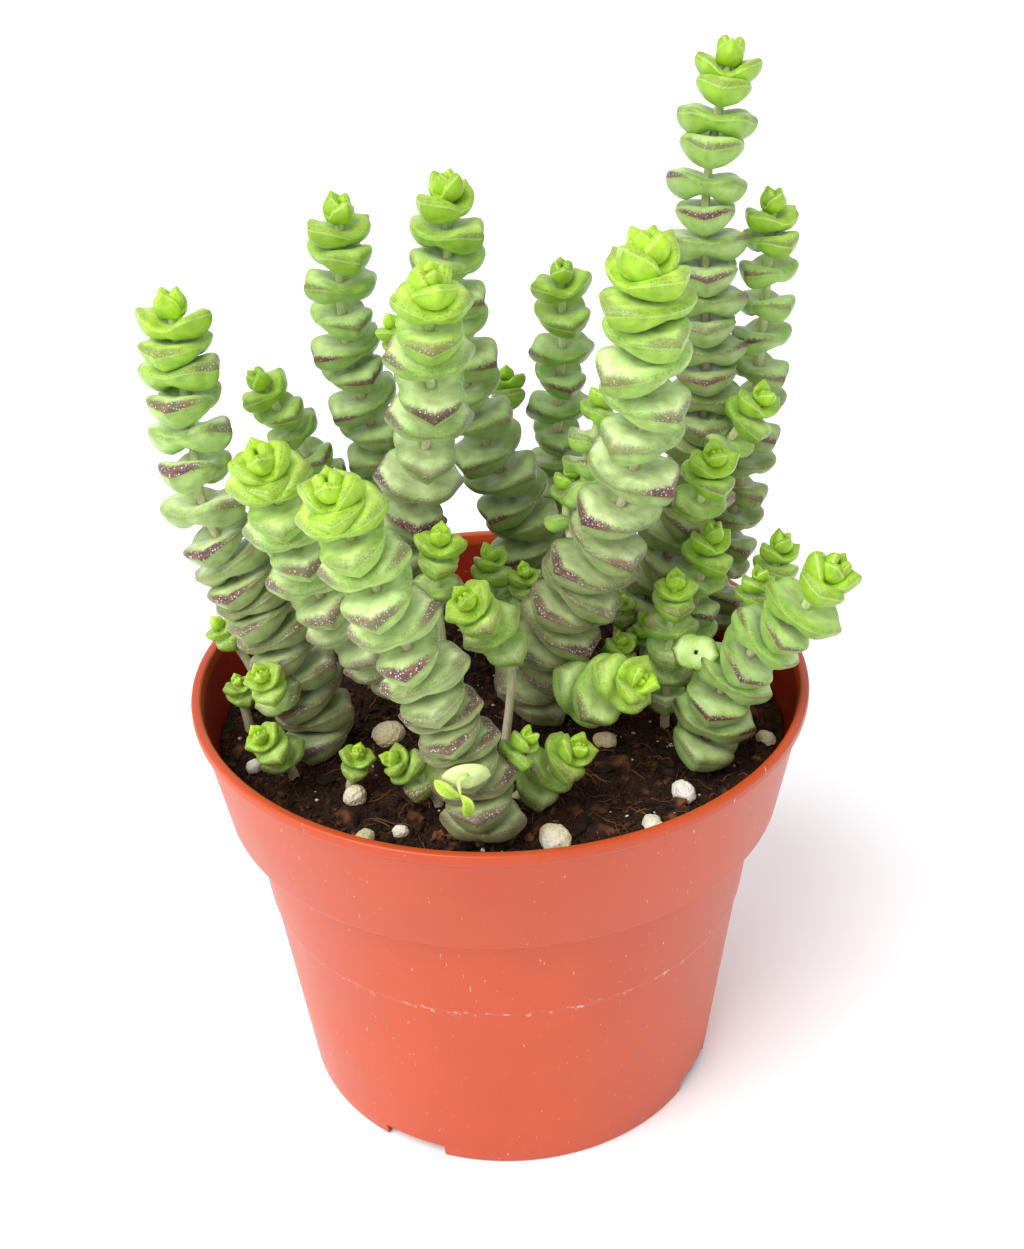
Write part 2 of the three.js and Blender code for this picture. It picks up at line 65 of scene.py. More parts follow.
# %% [markdown]
# The camera stands in front of the pot and a little above the leaves, and looks down by about
# thirty degrees. It could be aimed by eye, but then the leaves would never line up with the
# picture, so its place was worked out from the ellipses of the pot's rim and foot. The sensor
# is fitted to the picture's height, and the lens follows from the focal length in pixels.

# %% Camera
PICTURE = (1024, 1249)
FOCAL_PIXELS = 1653.0
AIM_PIXEL = (499.8, 668.6)
AIM_HEIGHT = 80.7
DISTANCE = 292.3
ELEVATION = math.radians(31.54)
ROLL = math.radians(1.93)
SENSOR = 36.0


def camera_matrix():
    back = np.array([0, -math.cos(ELEVATION), math.sin(ELEVATION)])
    right = np.array([1.0, 0, 0])
    level = np.array([right, np.cross(right, -back), back])
    yaw = math.atan((AIM_PIXEL[0] - PICTURE[0] / 2) / FOCAL_PIXELS)
    drop = (PICTURE[1] / 2 - AIM_PIXEL[1]) / FOCAL_PIXELS
    pitch = math.atan(drop * math.cos(yaw))
    turns = (
        Matrix.Rotation(-yaw, 3, "Y") @ Matrix.Rotation(pitch, 3, "X") @ Matrix.Rotation(ROLL, 3, "Z")
    )
    axes = np.array(turns) @ level
    stand = (np.array([0, 0, AIM_HEIGHT]) + back * DISTANCE) * MM
    rows = [[*axes[:, k], stand[k]] for k in range(3)]
    return Matrix([*rows, [0, 0, 0, 1]])


lens = bpy.data.cameras.new("camera")
lens.sensor_fit = "VERTICAL"
lens.sensor_height = SENSOR
lens.lens = SENSOR * FOCAL_PIXELS / PICTURE[1]
lens.clip_start = 0.01
lens.clip_end = 20
camera = bpy.data.objects.new("camera", lens)
bpy.context.collection.objects.link(camera)
camera.matrix_world = camera_matrix()
bpy.context.scene.camera = camera
print("camera at", np.round(camera.matrix_world.translation, 4), "lens", round(lens.lens, 2))

# %% [markdown]
# Every finish here is painted by nodes. They could be joined by hand in the shader editor, but
# as code they can be read and used again. Colours are sRGB hex values, the way a picker shows
# them, and one function turns them into the linear values that shaders add up. Another adds a
# node: names that start with a small letter are its own settings, the others are its sockets,
# and a socket that shares its name with others is given by its number. Every material starts
# from the piece's own place in millimetres, so a pattern's scale is one over its real size.

# %% Colours and nodes
SOFT = {"interpolation_type": "SMOOTHSTEP"}
TIMES = {"operation": "MULTIPLY"}
COVER = {"data_type": "RGBA"}
TINT = {**COVER, "blend_type": "MULTIPLY", "Factor": 1.0}


def linear(code):
    shares = [int(code[k:k + 2], 16) / 255 for k in (1, 3, 5)]
    return (*(s / 12.92 if s <= 0.04045 else ((s + 0.055) / 1.055) ** 2.4 for s in shares), 1.0)


def socket(sockets, key):
    if isinstance(key, int):
        return sockets[key]
    return next(s for s in sockets if s.enabled and key in ("", s.name))


def add_node(tree, kind, settings=None, links=None):
    node = tree.nodes.new("ShaderNode" + kind)
    for key, value in (settings or {}).items():
        if key == "stops":
            ramp = node.color_ramp
            while len(ramp.elements) < len(value):
                ramp.elements.new(1.0)
            for element, (position, code) in zip(ramp.elements, value):
                element.position, element.color = position, linear(code)
        elif isinstance(key, str) and key[0].islower():
            setattr(node, key, value)
        else:
            target = socket(node.inputs, key)
            target.default_value = linear(value) if isinstance(value, str) else value
    for key, source in (links or {}).items():
        tree.links.new(source if hasattr(source, "is_linked") else socket(source.outputs, ""),
                       socket(node.inputs, key))
    return node


def new_material(name):
    """The material, the function that adds a node to it, and the place in millimetres."""
    material = bpy.data.materials.new(name)
    material.use_nodes = True
    material.node_tree.nodes.clear()
    add = functools.partial(add_node, material.node_tree)
    place = add("TexCoord")
    return material, add, add("Mapping", {"Scale": (1 / MM,) * 3}, {"Vector": place.outputs["Object"]})


print("sRGB #e2704f is", np.round(linear("#e2704f"), 3))

# %% [markdown]
# A pot is turned and a leaf swells and closes, so the forms here grow in rings. They could be
# sculpted, but rings of points follow measured sizes. One function joins rings with four-sided
# faces, and one turns points in millimetres into a mesh with the values that the materials
# paint by. A ripple, a sum of a few sine waves with seeded directions, stands for the
# unevenness of anything that grew or was torn.

# %% Meshes
def ring_faces(rings, around, closed=False):
    low = np.arange(rings if closed else rings - 1)[:, None] * around
    high = (low + around) % (rings * around)
    here = np.arange(around)[None, :]
    beside = (here + 1) % around
    return np.stack([low + here, low + beside, high + beside, high + here], axis=-1).reshape(-1, 4)


def ripple(points, length, seed, waves=5):
    dice = np.random.default_rng(seed)
    total = np.zeros(len(points))
    for _ in range(waves):
        way = dice.normal(size=3)
        way *= 2 * math.pi * dice.uniform(0.7, 1.4) / length / np.linalg.norm(way)
        total += np.sin(points @ way + dice.uniform(0, 2 * math.pi))
    return total / waves


def mesh_piece(name, points, faces, materials, paint=None, picks=None):
    mesh = bpy.data.meshes.new(name)
    mesh.from_pydata((np.asarray(points) * MM).tolist(), [], [list(f) for f in faces])
    mesh.polygons.foreach_set("use_smooth", [True] * len(mesh.polygons))
    for key, values in (paint or {}).items():
        layer = mesh.attributes.new(key, "FLOAT", "POINT")
        layer.data.foreach_set("value", np.asarray(values, dtype=float))
    for material in materials:
        mesh.materials.append(material)
    if picks is not None:
        mesh.polygons.foreach_set("material_index", picks)
    mesh.update()
    piece = bpy.data.objects.new(name, mesh)
    bpy.context.collection.objects.link(piece)
    return piece


def triangles(piece):
    return sum(len(face.vertices) - 2 for face in piece.data.polygons)


print("faces between 3 rings of 4 points:", len(ring_faces(3, 4)))

# %% [markdown]
# The picture was taken in a white studio, on a pale floor without a horizon. A curved backdrop
# would look the same, but one large sheet is simpler and is pale to its far edge. It is matt
# white paper, whose tone wavers a little over about 50 mm.

# %% Floor
FLOOR_SIZE = 16.0

# Pressed paper pulp scatters light evenly: rough, with hardly any gloss
paper, add, size = new_material("matt_white_paper")
pulp = add("TexNoise", {"Scale": 0.02, "Detail": 2.0}, {"Vector": size})
tone = add("ValToRGB", {"stops": [(0.3, "#fcfbfb"), (0.7, "#fefefe")]}, {"Fac": pulp})
skin = add("BsdfPrincipled", {"Roughness": 0.7, "Specular IOR Level": 0.2}, {"Base Color": tone})
add("OutputMaterial", links={"Surface": skin})

half = FLOOR_SIZE / MM / 2
floor = mesh_piece("floor", [(-half, -half, 0), (half, -half, 0), (half, half, 0), (-half, half, 0)],
                   [(0, 1, 2, 3)], [paper])
print("floor:", FLOOR_SIZE, "m square")

# %% [markdown]
# Light comes from all round, which is the world's colour, and from a wide soft window, high up
# in front on the left. An area lamp could be the window, but its light fades with distance and
# would leave the floor uneven. A sun lamp fifty degrees wide gives every place the same light,
# with a short faint shadow.

# %% Light
ROOM_LIGHT = 0.88
WINDOW_LIGHT = 2.75
WINDOW_SPREAD = 50
WINDOW_PLACE = (-420, -380, 620)

world = bpy.data.worlds.new("white_studio")
world.use_nodes = True
world.node_tree.nodes["Background"].inputs["Color"].default_value = linear("#fbfcff")
world.node_tree.nodes["Background"].inputs["Strength"].default_value = ROOM_LIGHT
bpy.context.scene.world = world

window = bpy.data.lights.new("soft_window", "SUN")
window.energy = WINDOW_LIGHT
window.angle = math.radians(WINDOW_SPREAD)
lamp = bpy.data.objects.new("soft_window", window)
bpy.context.collection.objects.link(lamp)
lamp.location = [v * MM for v in WINDOW_PLACE]
lamp.rotation_euler = (-lamp.location).to_track_quat("-Z", "Y").to_euler()
bpy.context.scene.view_settings.view_transform = "Standard"

# %% [markdown]
# The pot is a thin nursery pot with a tapering wall, a rim band that stands proud of it, and a
# flat lip. A faint ridge runs round the wall at half height, where stacked pots meet. The form,
# the colours and the soil all need its sizes, so they stand here once, in millimetres.

# %% Pot sizes
RIM_RADIUS = 54.0
POT_HEIGHT = 81.0
BASE_RADIUS = 39.0
WALL = 1.2
FLOOR_THICKNESS = 1.8
BAND_FOOT = 59.3
BAND_FOOT_RADIUS = 49.7
NECK_RADIUS = 46.4
BAND_TOP_RADIUS = 53.1
LIP_DEPTH = 2.2
LIP_WIDTH = 1.6
EDGE = 0.5
RIDGE_HEIGHT = 40.0
RIDGE_STEP = 0.35
POT_SIDES = 160

lip_foot = POT_HEIGHT - LIP_DEPTH


def band_radius(z):
    share = (z - BAND_FOOT) / (lip_foot - BAND_FOOT)
    return BAND_FOOT_RADIUS + share * (BAND_TOP_RADIUS - BAND_FOOT_RADIUS)


def wall_radius(z):
    step = RIDGE_STEP if z > RIDGE_HEIGHT else 0
    return BASE_RADIUS + (NECK_RADIUS - RIDGE_STEP - BASE_RADIUS) * z / BAND_FOOT + step


print("wall radius at half the height:", round(wall_radius(POT_HEIGHT / 2), 2), "mm")

# %% [markdown]
# The pot is injection moulded from coral-orange polypropylene, almost even in tone. Inside,
# above the soil, light bounces from wall to wall and the orange deepens to red. That could be
# left to the light alone, but it asks for many bounces, so the inner wall gets that deeper red
# as painted shade. A spot counts as inside when it lies 0.6 to 1 mm deeper than the band's face.

# %% Pot plastic, colour
INSIDE = {1: 0.6, 2: 1.0}
OVER_SOIL = {1: 62, 2: 64}

plastic, add, size = new_material("moulded_polypropylene")
cloud = add("TexNoise", {"Scale": 0.035, "Detail": 3.0}, {"Vector": size})
body = add("ValToRGB", {"stops": [(0.3, "#b54015"), (0.7, "#c0491b")]}, {"Fac": cloud})
level = add("SeparateXYZ", links={"Vector": size}).outputs["Z"]
flat = add("Mapping", {"Scale": (1.0, 1.0, 0.0)}, {"Vector": size})
radius = add("VectorMath", {"operation": "LENGTH"}, {0: flat}).outputs["Value"]
face = add("MapRange", {1: BAND_FOOT, 2: lip_foot, 3: BAND_FOOT_RADIUS, 4: BAND_TOP_RADIUS},
           {0: level})
inset = add("Math", {"operation": "SUBTRACT"}, {0: face, 1: radius})
painted_inner_shade = add("MapRange", {**SOFT, **INSIDE}, {0: inset})
under_lip = add("MapRange", {**SOFT, 1: lip_foot + 0.6, 2: lip_foot - 0.2}, {0: level})
over_soil = add("MapRange", OVER_SOIL, {0: level})
for mask in (under_lip, over_soil):
    painted_inner_shade = add("Math", TIMES, {0: painted_inner_shade, 1: mask})
# painted shade: the inner wall above the soil is mixed towards a deeper red
body = add("Mix", {**COVER, "B": "#96230d"}, {"Factor": painted_inner_shade, "A": body})
print(plastic.name, "so far:", len(plastic.node_tree.nodes), "nodes")

# %% [markdown]
# White scuffs sit on the ridge, where stacked pots rub, and fine scratches cross the rim band.
# They could be painted by hand, but noise cut off at a level makes marks that never repeat.
# Scuffs are 0.5 to 3 mm, kept to the ridge by two soft steps. Scratches are noise squeezed
# into slanting streaks. The mould leaves a grain of about 0.25 mm on the satin skin.

# %% Pot plastic, wear and gloss
# Polypropylene has an IOR near 1.49, and a little light passes through its thin walls
from_below = add("MapRange", {**SOFT, 1: RIDGE_HEIGHT - 1.1, 2: RIDGE_HEIGHT + 0.2}, {0: level})
from_above = add("MapRange", {**SOFT, 1: RIDGE_HEIGHT + 0.3, 2: RIDGE_HEIGHT + 1.2, 3: 1.0, 4: 0.0},
                 {0: level})
ridge = add("Math", TIMES, {0: from_below, 1: from_above})
rub = add("TexNoise", {"Scale": 0.55, "Detail": 4.0, "Roughness": 0.7}, {"Vector": size})
rubbed = add("MapRange", {**SOFT, 1: 0.55, 2: 0.7}, {0: rub})
scuff = add("Math", TIMES, {0: ridge, 1: rubbed})
slant = add("Mapping", {"Rotation": (0.3, 0.2, 0.9), "Scale": (2.6, 0.22, 0.6)}, {"Vector": size})
streak = add("TexNoise", {"Scale": 1.0, "Detail": 3.0, "Roughness": 0.6}, {"Vector": slant})
scratch = add("MapRange", {**SOFT, 1: 0.69, 2: 0.76, 4: 0.7}, {0: streak})
wear = add("Math", {"operation": "MAXIMUM"}, {0: scuff, 1: scratch})
colour = add("Mix", {**COVER, "B": "#f4d2c4"}, {"Factor": wear, "A": body})
grain = add("TexNoise", {"Scale": 4.0, "Detail": 2.0}, {"Vector": size})
rough = add("MapRange", {1: 0.3, 2: 0.7, 3: 0.32, 4: 0.44}, {0: cloud})
bump = add("Bump", {"Strength": 0.25, "Distance": 0.00004}, {"Height": grain})
skin = add("BsdfPrincipled",
           {"IOR": 1.49, "Subsurface Weight": 0.1, "Subsurface Radius": (1.0, 0.35, 0.2),
            "Subsurface Scale": 0.0012},
           {"Base Color": colour, "Roughness": rough, "Normal": bump})
add("OutputMaterial", links={"Surface": skin})
print(plastic.name, "has", len(plastic.node_tree.nodes), "nodes")

# %% [markdown]
# The pot's form is one profile turned about the axis, up the outside, over the lip and down the
# inside to the floor. The Screw modifier could turn it. Here a function does, because the soil
# is turned by the same one and has to fit inside. A mould can't make a knife edge, so every
# corner gets a small round.

# %% Pot form
AXIS_HOLE = 0.01
LIP_STEP = 0.3
WALL_POINT = 4


def rounded(corners, radius, steps=4):
    """Replaces each corner of a profile, apart from the ends, by a short arc."""
    soft = [np.array(corners[0], float)]
    for before, corner, after in zip(corners, corners[1:], corners[2:]):
        before, corner, after = (np.array(p, float) for p in (before, corner, after))
        reach = min(radius, np.linalg.norm(before - corner) / 2, np.linalg.norm(after - corner) / 2)
        start = corner + (before - corner) / np.linalg.norm(before - corner) * reach
        end = corner + (after - corner) / np.linalg.norm(after - corner) * reach
        for t in np.linspace(0, 1, steps):
            soft.append((1 - t) ** 2 * start + 2 * t * (1 - t) * corner + t ** 2 * end)
    return soft + [np.array(corners[-1], float)]


def turned(profile, sides):
    """Turns a profile of (radius, height) about the pot's axis."""
    angles = np.linspace(0, 2 * math.pi, sides, endpoint=False)
    radius, height = np.array(profile).T
    ring = np.stack([np.outer(radius, np.cos(angles)), np.outer(radius, np.sin(angles)),
                     np.repeat(height[:, None], sides, axis=1)], axis=-1)
    return ring.reshape(-1, 3)


lip_inner = RIM_RADIUS - LIP_WIDTH
outline = [
    (AXIS_HOLE, 0), (BASE_RADIUS, 0), (wall_radius(WALL_POINT), WALL_POINT),
    (wall_radius(RIDGE_HEIGHT), RIDGE_HEIGHT),
    (wall_radius(RIDGE_HEIGHT + EDGE), RIDGE_HEIGHT + EDGE), (NECK_RADIUS, BAND_FOOT),
    (BAND_FOOT_RADIUS, BAND_FOOT), (BAND_TOP_RADIUS, lip_foot), (RIM_RADIUS, lip_foot + LIP_STEP),
    (RIM_RADIUS, POT_HEIGHT), (lip_inner, POT_HEIGHT), (BAND_TOP_RADIUS - WALL, lip_foot),
    (band_radius(BAND_FOOT + WALL) - WALL, BAND_FOOT + WALL),
    (NECK_RADIUS - WALL, BAND_FOOT + WALL - EDGE),
    (BASE_RADIUS - WALL, FLOOR_THICKNESS), (AXIS_HOLE, FLOOR_THICKNESS),
]
profile = rounded(outline, EDGE)
points = turned(profile, POT_SIDES)
pot = mesh_piece("moulded_pot", points, ring_faces(len(profile), POT_SIDES, closed=True), [plastic])
print("pot before its notches:", triangles(pot), "triangles")

# %% [markdown]
# Four notches in the foot let water out. The wall could be built round them, but a Boolean that
# takes four blocks away is simpler and leaves the wall's thickness in view. The blocks are
# removed afterwards, and edges sharper than forty degrees are kept crisp.

# %% Drainage notches
NOTCHES = dict(count=4, width=12.0, height=2.6, depth=4.0, first=-118)
CRISP_ANGLE = math.radians(40)
BLOCK = ((0, 3, 2, 1), (4, 5, 6, 7), (0, 1, 5, 4), (1, 2, 6, 5), (2, 3, 7, 6), (3, 0, 4, 7))

cutter_points, cutter_faces = [], []
for k in range(NOTCHES["count"]):
    angle = math.radians(NOTCHES["first"] + 360 / NOTCHES["count"] * k)
    out = np.array([math.cos(angle), math.sin(angle), 0])
    side = np.array([-math.sin(angle), math.cos(angle), 0])
    cutter_faces += [[len(cutter_points) + i for i in face] for face in BLOCK]
    for z in (-NOTCHES["height"], NOTCHES["height"]):
        for r, s in ((-1, -1), (1, -1), (1, 1), (-1, 1)):
            corner = out * (BASE_RADIUS + r * NOTCHES["depth"]) + side * (s * NOTCHES["width"] / 2)
            cutter_points.append(corner + np.array([0, 0, z]))
cutter = mesh_piece("notch_cutter", cutter_points, cutter_faces, [plastic])
cut = pot.modifiers.new("notches", "BOOLEAN")
cut.object = cutter
cut.operation = "DIFFERENCE"
cut.solver = "EXACT"
bpy.context.view_layer.objects.active = pot
with bpy.context.temp_override(object=pot, active_object=pot, selected_objects=[pot]):
    bpy.ops.object.modifier_apply(modifier=cut.name)
bpy.data.objects.remove(cutter, do_unlink=True)
pot.data.set_sharp_from_angle(angle=CRISP_ANGLE)
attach(pot, "root")
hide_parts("pot")
print("pot:", triangles(pot), "triangles")

# %% [markdown]
# The soil is peat with ground coconut husk, dark brown and nearly black where it is damp. One
# noise could colour it, but soil has two scales: lumps of about 3 mm, and crumbs of about half
# a millimetre with dusty brown tops. So two patterns lie over each other, and the crumbs also
# roughen the surface.

# %% Soil skin
# Peat has a rough, open surface: IOR 1.45, hardly any gloss
peat, add, size = new_material("damp_peat")
lump = add("TexNoise", {"Scale": 0.35, "Detail": 6.0, "Roughness": 0.65}, {"Vector": size})
crumb = add("TexNoise", {"Scale": 2.2, "Detail": 3.0}, {"Vector": size})
peat_stops = [(0.35, "#0b0705"), (0.5, "#1b110c"), (0.68, "#3d2417")]
tone = add("ValToRGB", {"stops": peat_stops}, {"Fac": lump})
dust = add("ValToRGB", {"stops": [(0.4, "#0f0907"), (0.72, "#6a4229")]}, {"Fac": crumb})
colour = add("Mix", {**COVER, "Factor": 0.4}, {"A": tone, "B": dust})
bump = add("Bump", {"Strength": 0.9, "Distance": 0.0004}, {"Height": crumb})
skin = add("BsdfPrincipled", {"Roughness": 0.95, "IOR": 1.45, "Specular IOR Level": 0.25},
           {"Base Color": colour, "Normal": bump})
add("OutputMaterial", links={"Surface": skin})
print(peat.name, "has", len(peat.node_tree.nodes), "nodes")

# %% [markdown]
# The soil fills the pot to about eleven millimetres below the lip. A bumpy disc could pass for
# its top, but a closed body can't show a gap at the wall: its sides follow the pot's inside,
# set in by a hair, and its top is a disc of fine rings. Ripples of several lengths, from swells
# of 22 mm to grit of 1.5 mm, raise the rings to an uneven crust.

# %% Soil form
SOIL_TOP = 70.0
SOIL_GAP = 0.3
SOIL_RINGS = 110
SOIL_SIDES = 260
CRUST_DROP = 0.4
CRUST_EDGE = 2
CLEAR = WALL + SOIL_GAP
LEDGE = BAND_FOOT + CLEAR


def soil_height(x, y):
    """How far the crust stands above its mean level, in millimetres."""
    flat = np.stack([x, y, np.zeros_like(x)], axis=-1)
    swell = 0.6 * ripple(flat, 22, 11) + 1.0 * ripple(flat, 7, 12)
    return swell + 0.9 * np.abs(ripple(flat, 3.1, 13)) + 0.4 * ripple(flat, 1.5, 14) - CRUST_DROP


edge = band_radius(SOIL_TOP) - CLEAR
side = [(0.4, FLOOR_THICKNESS + SOIL_GAP), (BASE_RADIUS - CLEAR, FLOOR_THICKNESS + SOIL_GAP),
        (NECK_RADIUS - CLEAR, LEDGE - EDGE), (band_radius(LEDGE) - CLEAR, LEDGE),
        (edge, SOIL_TOP - CRUST_EDGE)]
crust = [(edge * (1 - k / SOIL_RINGS), SOIL_TOP) for k in range(SOIL_RINGS)]
points = turned(side + crust, SOIL_SIDES)
first = len(side) * SOIL_SIDES
points[first:, 2] += soil_height(points[first:, 0], points[first:, 1])
soil = mesh_piece("peat_soil", points, ring_faces(len(side + crust), SOIL_SIDES, closed=True), [peat])
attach(soil, "root")
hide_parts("soil")
print("soil:", triangles(soil), "triangles")

# %% [markdown]
# Loose things lie on the crust. Geometry nodes could scatter them, but a seeded generator gives
# the same crumbs each run, joined into one piece of each kind. Each starts from a ball, made by
# splitting the twenty faces of an icosahedron as often as wanted, and gets a place and a turn
# by chance, half in the crust.

# %% Loose grains
SIZE_LEFT = (0.6, 1)
WIDTH_SHARE = (0.5, 0.9)
TUMBLE = 0.5


def ball(level):
    """The points and triangles of a round ball made from an icosahedron."""
    golden = (1 + 5 ** 0.5) / 2
    points = np.array([np.roll((s, t * golden, 0), k)
                       for k in range(3) for t in (1, -1) for s in (-1, 1)])
    faces = [(0, 11, 5), (0, 5, 1), (0, 1, 7), (0, 7, 10), (0, 10, 11), (1, 5, 9), (5, 11, 4),
             (11, 10, 2), (10, 7, 6), (7, 1, 8), (3, 9, 4), (3, 4, 2), (3, 2, 6), (3, 6, 8),
             (3, 8, 9), (4, 9, 5), (2, 4, 11), (6, 2, 10), (8, 6, 7), (9, 8, 1)]
    for _ in range(level):
        points = list(points)
        middle = {}
        split = []
        for face in faces:
            between = []
            for a, b in zip(face, face[1:] + face[:1]):
                pair = (min(a, b), max(a, b))
                if pair not in middle:
                    middle[pair] = len(points)
                    points.append((points[a] + points[b]) / 2)
                between.append(middle[pair])
            a, b, c = face
            ab, bc, ca = between
            split += [(a, ab, ca), (b, bc, ab), (c, ca, bc), (ab, bc, ca)]
        faces = split
        points = np.array(points)
    return points / np.linalg.norm(points, axis=1)[:, None], np.array(faces)


def on_crust(x, y):
    return SOIL_TOP + soil_height(np.array([x]), np.array([y]))[0]


def random_place(dice, reach):
    """A place on the crust, as likely near the wall as at the middle."""
    angle, radius = dice.uniform(0, 2 * math.pi), reach * math.sqrt(dice.uniform())
    x, y = radius * math.cos(angle), radius * math.sin(angle)
    return np.array([x, y, on_crust(x, y)])


def random_turn(dice):
    turn = Matrix.Rotation(dice.uniform(0, 2 * math.pi), 3, "Z")
    for axis in "XY":
        turn = turn @ Matrix.Rotation(dice.uniform(-TUMBLE, TUMBLE), 3, axis)
    return np.array(turn)


def scatter(name, material, seed, count, sizes, flat, rough, reach):
    """One piece of many broken grains, as flat and as rough as told."""
    dice = np.random.default_rng(seed)
    form, faces = ball(0)
    all_points, all_faces = [], []
    for k in range(count):
        size = dice.uniform(*sizes) * dice.uniform(*SIZE_LEFT) / 2
        lumpy = form * dice.uniform(1 - rough, 1 + rough, (len(form), 1))
        shaped = lumpy * size * np.array([1, dice.uniform(*WIDTH_SHARE), dice.uniform(*flat)])
        all_points.append(shaped @ random_turn(dice).T + random_place(dice, reach))
        all_faces.append(faces + k * len(form))
    grains = mesh_piece(name, np.concatenate(all_points), np.concatenate(all_faces), [material])
    grains.data.polygons.foreach_set("use_smooth", [False] * len(grains.data.polygons))
    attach(grains, "root")
    return grains


print("a ball split twice has", len(ball(2)[1]), "triangles")

# %% [markdown]
# In the peat lie crumbs of ground bark and chips of coconut husk up to 6 mm long, paler where
# they have dried. Rounded, they would pass for pebbles. They are torn, so they are shaded flat
# and keep their faces and sharp corners. The chips are few, and flatter than the crumbs.

# %% Bark crumbs and husk chips
# Dry torn fibre scatters light: rough, IOR 1.5, with colour in patches of about 3 mm
bark, add, size = new_material("ground_bark")
spot = add("TexNoise", {"Scale": 0.3, "Detail": 4.0}, {"Vector": size})
bark_stops = [(0.35, "#120a07"), (0.52, "#2c180e"), (0.66, "#6b3f22"), (0.8, "#8f6038")]
tone = add("ValToRGB", {"stops": bark_stops}, {"Fac": spot})
fine = add("TexNoise", {"Scale": 5.0, "Detail": 3.0}, {"Vector": size})
bump = add("Bump", {"Strength": 0.6, "Distance": 0.0001}, {"Height": fine})
skin = add("BsdfPrincipled", {"Roughness": 0.9, "IOR": 1.5, "Specular IOR Level": 0.3},
           {"Base Color": tone, "Normal": bump})
add("OutputMaterial", links={"Surface": skin})

crumbs = scatter("bark_crumbs", bark, seed=21, count=3400, sizes=(0.5, 2.4), flat=(0.35, 0.8),
                 rough=0.4, reach=edge - 0.8)
chips = scatter("husk_chips", bark, seed=23, count=240, sizes=(2.0, 6.0), flat=(0.3, 0.6),
                rough=0.45, reach=edge - 2.4)
print("crumbs and chips:", triangles(crumbs) + triangles(chips), "triangles")

# %% [markdown]
# Perlite is volcanic glass puffed up by heat: chalk-white, very light, with a skin of tiny open
# bubbles of about half a millimetre. Modelled bubbles would take far too many faces, so they
# are cells that dent the surface, with painted shade darkening each one at the middle where its
# hollow would lie in shadow. Watering stains some grains yellow, and a little light gets in.

# %% Perlite skin
# Puffed glass is a froth: rough at IOR 1.5, and light scatters about 1 mm deep in it
perlite, add, size = new_material("puffed_perlite")
stain = add("TexNoise", {"Scale": 0.08, "Detail": 2.0}, {"Vector": size})
tone = add("ValToRGB", {"stops": [(0.4, "#f1ece2"), (0.62, "#e3cf9b")]}, {"Fac": stain})
pore = add("TexVoronoi", {"Scale": 1.8}, {"Vector": size})
# painted shade: the hollow of each bubble is darkened towards its middle
shade = add("MapRange", {1: 0.05, 2: 0.35, 3: 0.62, 4: 1.0}, {0: pore})
colour = add("Mix", TINT, {"A": tone, "B": shade})
bump = add("Bump", {"Strength": 0.7, "Distance": 0.0003}, {"Height": pore})
skin = add("BsdfPrincipled",
           {"Roughness": 0.85, "IOR": 1.5, "Subsurface Weight": 0.2,
            "Subsurface Radius": (1.0, 0.9, 0.7), "Subsurface Scale": 0.001},
           {"Base Color": colour, "Normal": bump})
add("OutputMaterial", links={"Surface": skin})
print(perlite.name, "has", len(perlite.node_tree.nodes), "nodes")

# %% [markdown]
# Twelve grains of perlite can be told apart, and each is a piece. They could be scattered like
# the crumbs, but their places are known. A grain starts as a finely split ball, is stretched to
# its own length, width and height, and is dented by ripples, so that it looks broken off and
# not cast. The dust of smaller grains is one piece of specks.

# %% Perlite grains
GRAINS = [
    (-25, -23, 4.0, 3.4, 3.8), (-20, -5, 6.0, 4.6, 4.6), (8, -37, 6.4, 4.8, 4.6),
    (24, -34, 5.2, 3.4, 3.2), (30, -25, 5.0, 3.6, 3.6), (46, -10, 3.6, 3.0, 3.0),
    (18, -9, 4.4, 3.2, 3.2), (-23, -35, 4.8, 3.2, 3.0), (-17, -33, 2.8, 2.2, 2.4),
    (-43, -13, 3.0, 2.6, 2.6), (38, -30, 2.6, 2.2, 2.2), (-8, 44, 4.4, 3.4, 3.2),
]
GRAIN_SUNK = 0.3
DENTS = [(0.10, 1.1, 100), (0.05, 0.45, 200)]


def chance(a, b, c):
    """An even spread of values from 0 to 1 that is the same each run."""
    value = math.sin(a * 12.9898 + b * 78.233 + c * 37.719) * 43758.5453
    return value - math.floor(value)


form, faces = ball(4)
for k, (x, y, length, width, height) in enumerate(GRAINS):
    dent = sum(depth * ripple(form, across, seed + k) for depth, across, seed in DENTS)
    grain = form * (1 + dent)[:, None] * np.array([length, width, height]) / 2
    grain = grain @ np.array(Matrix.Rotation(chance(k, 0, 2) * math.pi, 3, "Z")).T
    grain += np.array([x, y, SOIL_TOP + height * (0.5 - GRAIN_SUNK)])
    node = f"perlite_{k + 1:02d}"
    piece = mesh_piece(f"puffed_{node}", grain, faces, [perlite])
    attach(piece, "root")
    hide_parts(node)
specks = scatter("perlite_specks", perlite, seed=22, count=240, sizes=(0.2, 1.2), flat=(0.5, 1.0),
                 rough=0.25, reach=edge - 0.8)
print("perlite:", len(GRAINS), "grains and", triangles(specks), "triangles of specks")

# %% [markdown]
# The stems, as they stand in the frame. They could be drawn as curves by hand, but a row of
# numbers keeps each one in its solid's place. A row tells the name, the span of the leaf pairs
# at the foot and at the top, and the heading of the first pair. Then it tells how far below the
# bud each pair sits or, for a small shoot, the pairs' gap and the bare length above the soil.
# Last comes the route, from the soil or from inside the parent stem to the bud.

